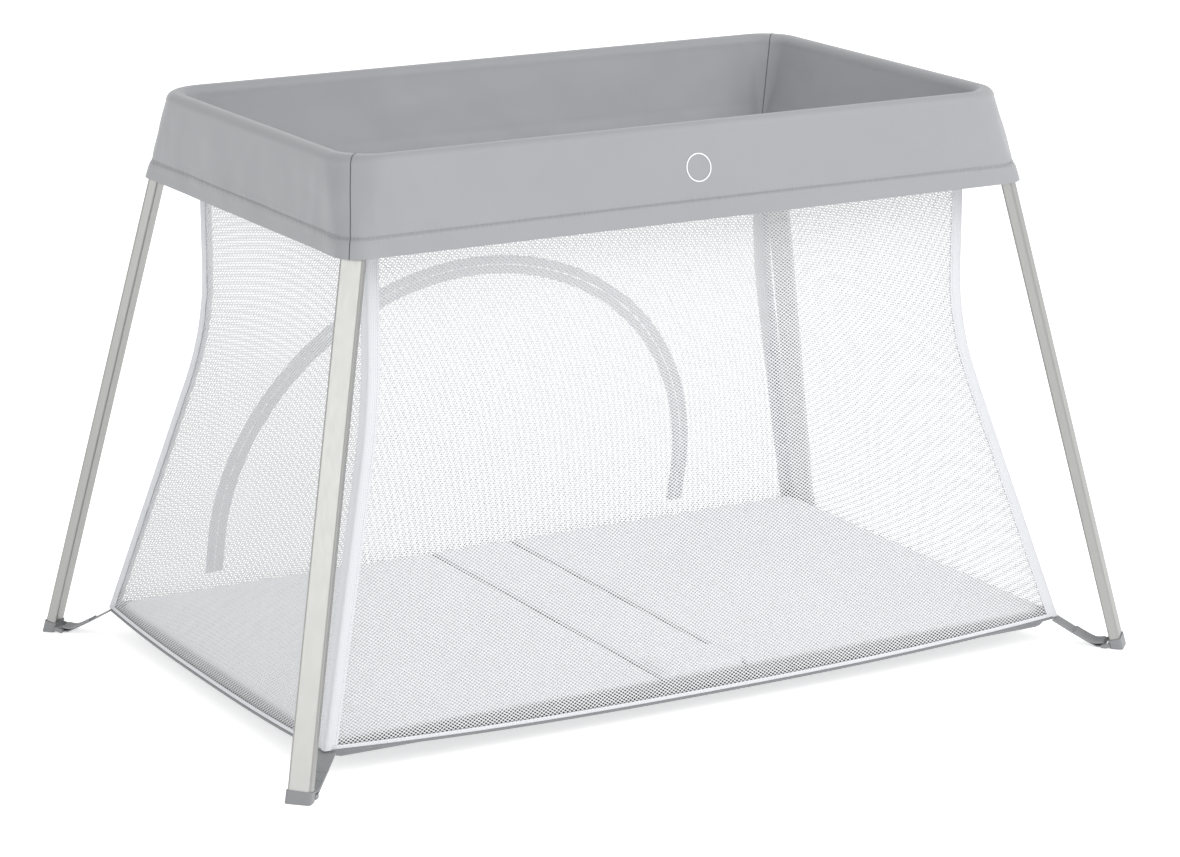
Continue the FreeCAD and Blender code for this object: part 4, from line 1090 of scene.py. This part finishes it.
class PLAYPEN_OT_band(bpy.types.Operator):
    """Sew the band over the rail, with its hem, stitches and corner seams"""

    bl_idname = "playpen.band"
    bl_label = "Band"

    def execute(self, context):
        sizes = settings(context)
        names = {-1: "left_rim_band", 1: "right_rim_band"}
        for side in (-1, 1):
            grids, rows = band_grid(side)
            grid = grids[0]
            outward = facing_outward(grid)
            moved, normal = shaped_band(grid, rows, outward, sizes)
            piece = add_grid(
                "band_" + ("left", "right")[side > 0], moved, "band", band_uv(moved, sizes), outward
            )
            thicken(piece, sizes.cloth)
            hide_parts(names[side])
            on_rim(piece, side)
            self.sew(moved, normal, rows, side, sizes)
        grids, rows = band_grid(0)
        for grid, name, node in zip(
            grids, ("cover_front", "cover_back"), ("front_hub_cover", "back_hub_cover")
        ):
            outward = facing_outward(grid)
            moved, normal = shaped_band(grid, rows, outward, sizes)
            piece = add_grid(name, moved, "band", band_uv(moved, sizes), outward)
            thicken(piece, sizes.cloth)
            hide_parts(node)
            on_rim(piece, 0)
            self.sew(moved, normal, rows, 0, sizes, name)
        return {"FINISHED"}

    def sew(self, grid, normal, rows, side, sizes, name=""):
        """Stitches along the hem, and down the sewn corner."""
        heights = [row[2] for row in rows]
        outer = [i for i, row in enumerate(rows) if row[0] == "outer"]
        seam_z = RIM_BOTTOM + sizes.hem
        row = next(i for i in outer if heights[i] <= seam_z)
        share = (heights[row - 1] - seam_z) / (heights[row - 1] - heights[row])
        line = grid[row - 1] * (1 - share) + grid[row] * share
        away = normal[row]
        label = name or "band_" + ("left", "right")[side > 0]
        hem = bars_along(
            label + "_hem_stitches", [(line + away * 0.0002, away)], "thread", sizes.stitch * 1.3,
            sizes.stitch, 0.0007, 0.0006
        )
        on_rim(hem, side)
        if side:
            column = STRAIGHT_POINTS + CORNER_POINTS // 2 + (CORNER_POINTS + END_POINTS) * (side > 0)
            seam_rows = range(len(rows))
            path = np.array([grid[i, column] + normal[i, column] * 0.0001 for i in seam_rows])
            out = np.array([normal[i, column] for i in seam_rows])
            seam = bars_along(
                label + "_corner_seam", [(path, out)], "seam_thread", 0.0014, 0.0018, 0.0013, 0.0007
            )
            on_rim(seam, side)


class PLAYPEN_OT_rail_bends(bpy.types.Operator):
    """Cloth over the four pivots, seen when the rail halves turn up"""

    bl_idname = "playpen.rail_bends"
    bl_label = "Rail bends"

    def execute(self, context):
        made = bmesh.new()
        for x in (-COVER_HALF, COVER_HALF):
            for y in (-RAIL_HALF[1], RAIL_HALF[1]):
                shape = bmesh.ops.create_uvsphere(made, u_segments=24, v_segments=16, radius=ROUND_EDGE)
                for vertex in shape["verts"]:
                    vertex.co += Vector((x, y, RAIL_Z))
        mesh = bpy.data.meshes.new("rail_bends")
        made.to_mesh(mesh)
        made.free()
        mesh.materials.append(FINISHES["band"])
        mesh.uv_layers.new(name="cloth")
        for polygon in mesh.polygons:
            polygon.use_smooth = True
        piece = bpy.data.objects.new("rail_bends", mesh)
        context.scene.collection.objects.link(piece)
        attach(piece, "hubs")
        return {"FINISHED"}


class PLAYPEN_OT_walls(bpy.types.Operator):
    """Hang the four net walls; the back one has the doorway"""

    bl_idname = "playpen.walls"
    bl_label = "Net walls"

    def execute(self, context):
        sizes = settings(context)
        for name, index, sign in (("front", 1, -1), ("left", 0, -1), ("right", 0, 1)):
            wall = add_wall("net_" + name, index, sign, sizes)
            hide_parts(name + "_mesh_wall")
            on_walls(wall)
        edge = []
        for s in np.linspace(-1, 1, 80, endpoint=False):
            z = foot_height(1, s, sizes)
            edge.append((s * wall_half(0, z), z))
        foot = foot_height(1, 1, sizes)
        for z in np.linspace(foot, WALL_TOP, 60, endpoint=False):
            edge.append((wall_half(0, z), z))
        edge += [(x, WALL_TOP) for x in np.linspace(WALL_TOP_HALF[0], -WALL_TOP_HALF[0], 60, endpoint=False)]
        for z in np.linspace(WALL_TOP, foot, 60, endpoint=False):
            edge.append((-wall_half(0, z), z))
        arch = arch_line(0.0)
        sill = sill_line(0.0)

        def in_wall(x, z, gap):
            if abs(x) > wall_half(0, z) - gap or z > WALL_TOP - gap:
                return False
            if z < foot_height(1, x / wall_half(0, z), sizes) + gap:
                return False
            return not in_door(x, z, gap)

        wall = cut_sheet("net_back", [edge, arch + sill], in_wall, sizes, "net_turned")
        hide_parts("back_mesh_wall")
        on_walls(wall)

        def in_flap(x, z, gap):
            return in_door(x, z, -DOOR_GAP - gap)

        flap_arch = arch_line(-DOOR_GAP)
        flap = cut_sheet("net_door", [flap_arch + sill_line(-DOOR_GAP)], in_flap, sizes, "net_turned")
        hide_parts("door_flap")
        on_door(flap)
        return {"FINISHED"}


class PLAYPEN_OT_doorway(bpy.types.Operator):
    """Sew the two zip tapes, their teeth and their stitches round the arch"""

    bl_idname = "playpen.doorway"
    bl_label = "Doorway zip"

    def execute(self, context):
        sizes = settings(context)
        wall_tape = tape_round_arch("tape_doorway", DOOR_GAP, DOOR_TAPE, sizes)
        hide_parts("doorway_tape")
        door_tape = tape_round_arch("tape_door", -DOOR_TAPE, -DOOR_GAP, sizes)
        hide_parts("door_edge_tape")
        pieces = [(wall_tape, on_walls), (door_tape, on_door)]
        for name, offset, seam, put in (
            ("wall", 0.0012, 0.0100, on_walls), ("door", -0.0012, -0.0100, on_door)
        ):
            teeth = bars_along(
                "teeth_" + name, [arch_guide(offset, sizes, 0.0014)], "teeth", sizes.tooth, 0.0013, 0.0026,
                0.0011
            )
            stitches = bars_along(
                "zip_stitches_" + name, [arch_guide(seam, sizes, 0.0012)], "pale_thread", sizes.stitch * 1.3,
                sizes.stitch, 0.0006, 0.0005
            )
            pieces += [(teeth, put), (stitches, put)]
        for piece, put in pieces:
            put(piece)
        return {"FINISHED"}


class PLAYPEN_OT_seam_tapes(bpy.types.Operator):
    """Bind the four upright seams between the walls"""

    bl_idname = "playpen.seam_tapes"
    bl_label = "Seam tapes"

    def execute(self, context):
        sizes = settings(context)
        section = (
            (0.0010, -0.0150), (0.0011, -0.0100), (0.0012, -0.0050), (0.0011, -0.0018), (0.0004, 0.0004),
            (-0.0018, 0.0011), (-0.0050, 0.0012), (-0.0100, 0.0011), (-0.0150, 0.0010),
        )
        foot = foot_height(1, 1, sizes)
        heights = np.linspace(foot - 0.002, WALL_TOP, 90)
        points, faces, uv, lines = [], [], [], []
        for sx in (-1, 1):
            for sy in (-1, 1):
                start = len(points)
                for z in heights:
                    hx, hy = wall_half(0, z), wall_half(1, z)
                    pucker = 0.0005 * cloudy((sx, sy, z), 60.0, sizes.seed)
                    for k, (dx, dy) in enumerate(section):
                        edge = 1.0 if k in (0, 8) else 0.3
                        points.append((sx * (hx + dx + pucker * edge), sy * (hy + dy + pucker * edge), z))
                        uv.append((k * 0.0034, z))
                block = grid_faces(len(heights), len(section), start)
                if sx * sy > 0:
                    block = [tuple(reversed(face)) for face in block]
                faces += block
                for dx, dy, out in (
                    (0.0016, -0.0120, Vector((sx, 0, 0))), (-0.0120, 0.0016, Vector((0, sy, 0)))
                ):
                    path = [(sx * (wall_half(0, z) + dx), sy * (wall_half(1, z) + dy), z) for z in heights]
                    lines.append((path, [out] * len(path)))
        tapes = add_mesh("seam_tapes", points, faces, "tape", uv)
        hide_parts("corner_seam_tapes")
        stitches = bars_along(
            "seam_tape_stitches", lines, "pale_thread", sizes.stitch * 1.4, sizes.stitch, 0.0006, 0.0005
        )
        for piece in (tapes, stitches):
            on_walls(piece)
        return {"FINISHED"}


class PLAYPEN_OT_floor(bpy.types.Operator):
    """Lay the floor cloth and bind its edge with tape and piping"""

    bl_idname = "playpen.floor"
    bl_label = "Floor"

    def execute(self, context):
        sizes = settings(context)
        edge = foot_loop(sizes)
        level = WALL_FOOT - 0.0008
        rows = []
        for share in (1.0, 0.995, 0.990, 0.984, 0.976, 0.968, 0.93, 0.8, 0.6, 0.4, 0.2, 0.02):
            ring = edge.copy()
            ring[:, :2] *= share
            rise = max(0.0, min(1.0, (share - 0.968) / 0.032))
            ring[:, 2] = level + (edge[:, 2] - level) * rise * rise * (3 - 2 * rise)
            rows.append(ring)
        grid = np.array(rows)
        columns = grid.shape[1]
        faces = grid_faces(len(rows), columns, closed=True)
        points = list(grid.reshape(-1, 3)) + [np.array([0, 0, level])]
        last = (len(rows) - 1) * columns
        faces += [(last + j, last + (j + 1) % columns, len(points) - 1) for j in range(columns)]
        cloth = add_mesh("floor_cloth", points, faces, "base_cloth", [(p[0], p[1]) for p in points])
        thicken(cloth, 0.0010, 0.0)
        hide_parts("floor_sheet")
        low = foot_loop(sizes, 0.0010, -0.0010)
        high = foot_loop(sizes, 0.0010 - 0.004 * math.tan(WALL_LEAN[1]), 0.0035)
        mid = (low + high) / 2 + outward_of_loop(low) * 0.0003
        strip = np.array([low, mid, high])
        u = lengths_along(strip, 1)
        v = lengths_along(strip, 0)
        tape = add_mesh(
            "floor_binding", strip.reshape(-1, 3), grid_faces(3, strip.shape[1], closed=True), "tape",
            np.stack([v, u], axis=2).reshape(-1, 2)
        )
        thicken(tape, 0.0008, 1.0)
        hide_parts("bottom_binding")
        cord = cord_round("floor_piping", foot_loop(sizes, 0.0018, -0.0022), 0.0018, "piping")
        stitch_line = foot_loop(sizes, 0.0016, 0.0018)
        closed = np.vstack([stitch_line, stitch_line[:1]])
        out = outward_of_loop(stitch_line)
        stitches = bars_along(
            "binding_stitches", [(closed, np.vstack([out, out[:1]]))], "pale_thread", sizes.stitch * 1.4,
            sizes.stitch, 0.0006, 0.0005
        )
        for piece in (cloth, tape, cord, stitches):
            on_walls(piece)
        return {"FINISHED"}


class PLAYPEN_OT_straps(bpy.types.Operator):
    """Run the webbing from the floor's corners round the bars behind the feet"""

    bl_idname = "playpen.straps"
    bl_label = "Floor straps"

    def execute(self, context):
        sizes = settings(context)
        path = strap_path(sizes)
        width = 0.0245
        for name, sx in (("left", -1), ("right", 1)):
            points, faces, uv, lines = [], [], [], []
            for sy in (-1, 1):
                start = len(points)
                across = Vector(LEG_ACROSS)
                rows = []
                for share in np.linspace(-0.5, 0.5, 7):
                    rows.append(mirrored_points([p + across * width * share for p in path], sx, sy))
                grid = np.array(rows)
                points += list(grid.reshape(-1, 3))
                u = lengths_along(grid, 1)
                v = lengths_along(grid, 0)
                uv += list(np.stack([v, u], axis=2).reshape(-1, 2))
                block = grid_faces(7, len(path), start)
                if sx * sy < 0:
                    block = [tuple(reversed(face)) for face in block]
                faces += block
                for mark in (len(path) - 5, len(path) - 14):
                    across_line = [
                        path[mark] + across * width * share
                        + Vector((0, 0, 0.0010)) for share in np.linspace(-0.44, 0.44, 9)
                    ]
                    lines.append((mirrored_points(across_line, sx, sy), [Vector((0, 0, 1))] * 9))
            webbing = add_mesh("straps_" + name, points, faces, "webbing", uv)
            thicken(webbing, 0.0013, 0.0)
            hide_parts(name + "_floor_straps")
            stitches = bars_along("strap_stitches_" + name, lines, "thread", 0.0030, 0.0022, 0.0007, 0.0006)
            for piece in (webbing, stitches):
                on_walls(piece)
        return {"FINISHED"}


class PLAYPEN_OT_mattress(bpy.types.Operator):
    """Cover the two mattress panels and the centre strip in brushed knit"""

    bl_idname = "playpen.mattress"
    bl_label = "Mattress"

    def execute(self, context):
        sizes = settings(context)
        for name in ("left", "right"):
            low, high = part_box(name + "_mattress_pad")
            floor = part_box(name + "_mattress_board")[0].z - 0.0002
            radii = (0.005, 0.022, 0.022, 0.005) if name == "right" else (0.022, 0.005, 0.005, 0.022)
            pad = add_pad(
                "mattress_" + name + "_cover", (low.x, low.y, floor), (high.x, high.y, high.z), radii, sizes,
                0.0135
            )
            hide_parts(name + "_mattress_pad")
            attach(pad, "mattress_" + name)
        low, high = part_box("mattress_strip")
        strip = add_pad("mattress_middle_cover", tuple(low), tuple(high), (0.005,) * 4, sizes, 0.0105)
        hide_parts("mattress_strip")
        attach(strip, "walls_and_floor")
        return {"FINISHED"}


class PLAYPEN_OT_flap(bpy.types.Operator):
    """Lay the padded fastening tab over the front end of the centre strip"""

    bl_idname = "playpen.flap"
    bl_label = "Fastening tab"

    def execute(self, context):
        sizes = settings(context)
        low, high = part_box("mattress_strip")
        top = high.z + 0.0002
        tab_low = (low.x + 0.006, low.y + 0.004, top - 0.006)
        tab_high = (high.x - 0.002, low.y + 0.070, top + 0.0075)
        tab = add_pad("mattress_tab", tab_low, tab_high, (0.006,) * 4, sizes, 0.0075)
        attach(tab, "walls_and_floor")
        return {"FINISHED"}


class PLAYPEN_OT_ring(bpy.types.Operator):
    """Print the plain ring over the front latch"""

    bl_idname = "playpen.ring"
    bl_label = "Ring"

    def execute(self, context):
        sizes = settings(context)
        middle = RIM_TOP - RING_DROP
        rows = []
        for radius in (0.0150, 0.01565, 0.0163):
            row = []
            for angle in np.linspace(0, math.tau, 96, endpoint=False):
                x, z = radius * math.cos(angle), middle + radius * math.sin(angle)
                t = (RIM_TOP - ROUND_EDGE - z) / (RIM_TOP - RIM_BOTTOM - ROUND_EDGE)
                y = -(RIM_HALF[1] + RIM_FLARE[1] * t)
                y -= band_displacement((x, y, z), "outer", t, sizes) + 0.0002
                row.append((x, y, z))
            rows.append(row)
        grid = np.array(rows)
        faces = [tuple(reversed(face)) for face in grid_faces(3, 96, closed=True)]
        ring = add_mesh("ring_print", grid.reshape(-1, 3), faces, "ring")
        thicken(ring, 0.0003, 1.0)
        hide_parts("ring_mark")
        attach(ring, "hubs")
        return {"FINISHED"}


class PLAYPEN_OT_frame(bpy.types.Operator):
    """Finish the tubes, corners, hubs, feet and small metal parts"""

    bl_idname = "playpen.frame"
    bl_label = "Frame finishes"

    def execute(self, context):
        kinds = (
            ("_leg_tube", "alloy"), ("_rail", "alloy"), ("_corner", "plastic"), ("_end_plugs", "plastic"),
            ("_knuckle", "plastic"), ("_foot_cap", "plastic"), ("_shells", "plastic"), ("_pins", "steel"),
            ("_screws", "steel"), ("_springs", "steel"), ("_bolt", "steel"), ("_button", "button"),
            ("_board", "board"), ("_slider", "zip_metal"), ("_pull", "zip_metal"),
        )
        for node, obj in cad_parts.items():
            if obj.hide_render:
                continue
            for ending, finish in kinds:
                if node.endswith(ending):
                    dress(node, finish)
                    break
            else:
                raise RuntimeError(node + " has no finish")
        return {"FINISHED"}


def area_light(name, place, aim, size, power):
    """Large soft lamp pointed at a place."""
    lamp = bpy.data.lights.new(name, "AREA")
    lamp.shape = "RECTANGLE"
    lamp.size, lamp.size_y = size
    lamp.energy = power
    obj = bpy.data.objects.new(name, lamp)
    obj.location = place
    obj.rotation_mode = "QUATERNION"
    obj.rotation_quaternion = (Vector(aim) - Vector(place)).to_track_quat("-Z", "Y")
    bpy.context.scene.collection.objects.link(obj)
    return obj


class PLAYPEN_OT_stage(bpy.types.Operator):
    """Set the pale floor, the soft lamps and the camera"""

    bl_idname = "playpen.stage"
    bl_label = "Stage"

    def execute(self, context):
        scene = context.scene
        mesh = bpy.data.meshes.new("studio_floor")
        far = 12.0
        mesh.from_pydata([(-far, -far, 0), (far, -far, 0), (far, far, 0), (-far, far, 0)], [], [(0, 1, 2, 3)])
        paper = Finish(
            "studio_paper", (0.86, 0.86, 0.86), Roughness=0.9, Specular_IOR_Level=0.1, Emission_Strength=0.55
        )
        paper.shader.inputs["Emission Color"].default_value = (1, 1, 1, 1)
        mesh.materials.append(paper.material)
        floor = bpy.data.objects.new("studio_floor", mesh)
        floor.location.z = -0.0005
        scene.collection.objects.link(floor)
        world = bpy.data.worlds.new("studio")
        scene.world = world
        world.use_nodes = True
        world.node_tree.nodes["Background"].inputs[0].default_value = (1.0, 1.0, 1.0, 1)
        world.node_tree.nodes["Background"].inputs[1].default_value = 0.88
        area_light("key", (1.4, -2.6, 3.0), (0, 0, 0.3), (3.0, 3.0), 66)
        sheen = area_light("metal_light", (-2.9, -1.7, 1.1), (0, 0, 0.35), (1.8, 1.6), 23)
        sheen.visible_diffuse = False
        scene.view_settings.view_transform = "Standard"
        azimuth, elevation, distance = math.radians(-29.66), math.radians(14.87), 4.7566
        target = Vector((0.0089, -0.0055, 0.2692))
        back = Vector(
            (
                math.sin(azimuth) * math.cos(elevation), -math.cos(azimuth) * math.cos(elevation),
                math.sin(elevation)
            )
        )
        lens = bpy.data.cameras.new("camera")
        lens.sensor_width = 36.0
        lens.lens = 118.07
        camera = bpy.data.objects.new("camera", lens)
        camera.location = target + back * distance
        camera.rotation_mode = "QUATERNION"
        camera.rotation_quaternion = (-back).to_track_quat("-Z", "Y")
        scene.collection.objects.link(camera)
        scene.camera = camera
        return {"FINISHED"}


STEPS = (
    PLAYPEN_OT_finishes, PLAYPEN_OT_band, PLAYPEN_OT_rail_bends, PLAYPEN_OT_walls, PLAYPEN_OT_doorway,
    PLAYPEN_OT_seam_tapes, PLAYPEN_OT_floor, PLAYPEN_OT_straps, PLAYPEN_OT_mattress, PLAYPEN_OT_flap,
    PLAYPEN_OT_ring, PLAYPEN_OT_frame, PLAYPEN_OT_stage,
)


class PLAYPEN_PT_panel(bpy.types.Panel):
    """Sizes, colours and steps of the playpen"""

    bl_label = "Playpen"
    bl_space_type = "VIEW_3D"
    bl_region_type = "UI"
    bl_category = "Playpen"

    def draw(self, context):
        for group in (context.scene.playpen_sizes, context.scene.playpen_colours):
            box = self.layout.box()
            for key in group.bl_rna.properties.keys():
                if key not in ("rna_type", "name"):
                    box.prop(group, key)
        for step in STEPS:
            self.layout.operator(step.bl_idname)


CLASSES = (PlaypenSizes, PlaypenColours) + STEPS + (PLAYPEN_PT_panel,)


def register():
    for item in CLASSES:
        bpy.utils.register_class(item)
    bpy.types.Scene.playpen_sizes = PointerProperty(type=PlaypenSizes)
    bpy.types.Scene.playpen_colours = PointerProperty(type=PlaypenColours)


def unregister():
    del bpy.types.Scene.playpen_colours
    del bpy.types.Scene.playpen_sizes
    for item in reversed(CLASSES):
        bpy.utils.unregister_class(item)


def main():
    register()
    for step in STEPS:
        group, name = step.bl_idname.split(".")
        getattr(getattr(bpy.ops, group), name)()


if __name__ == "__main__":
    main()
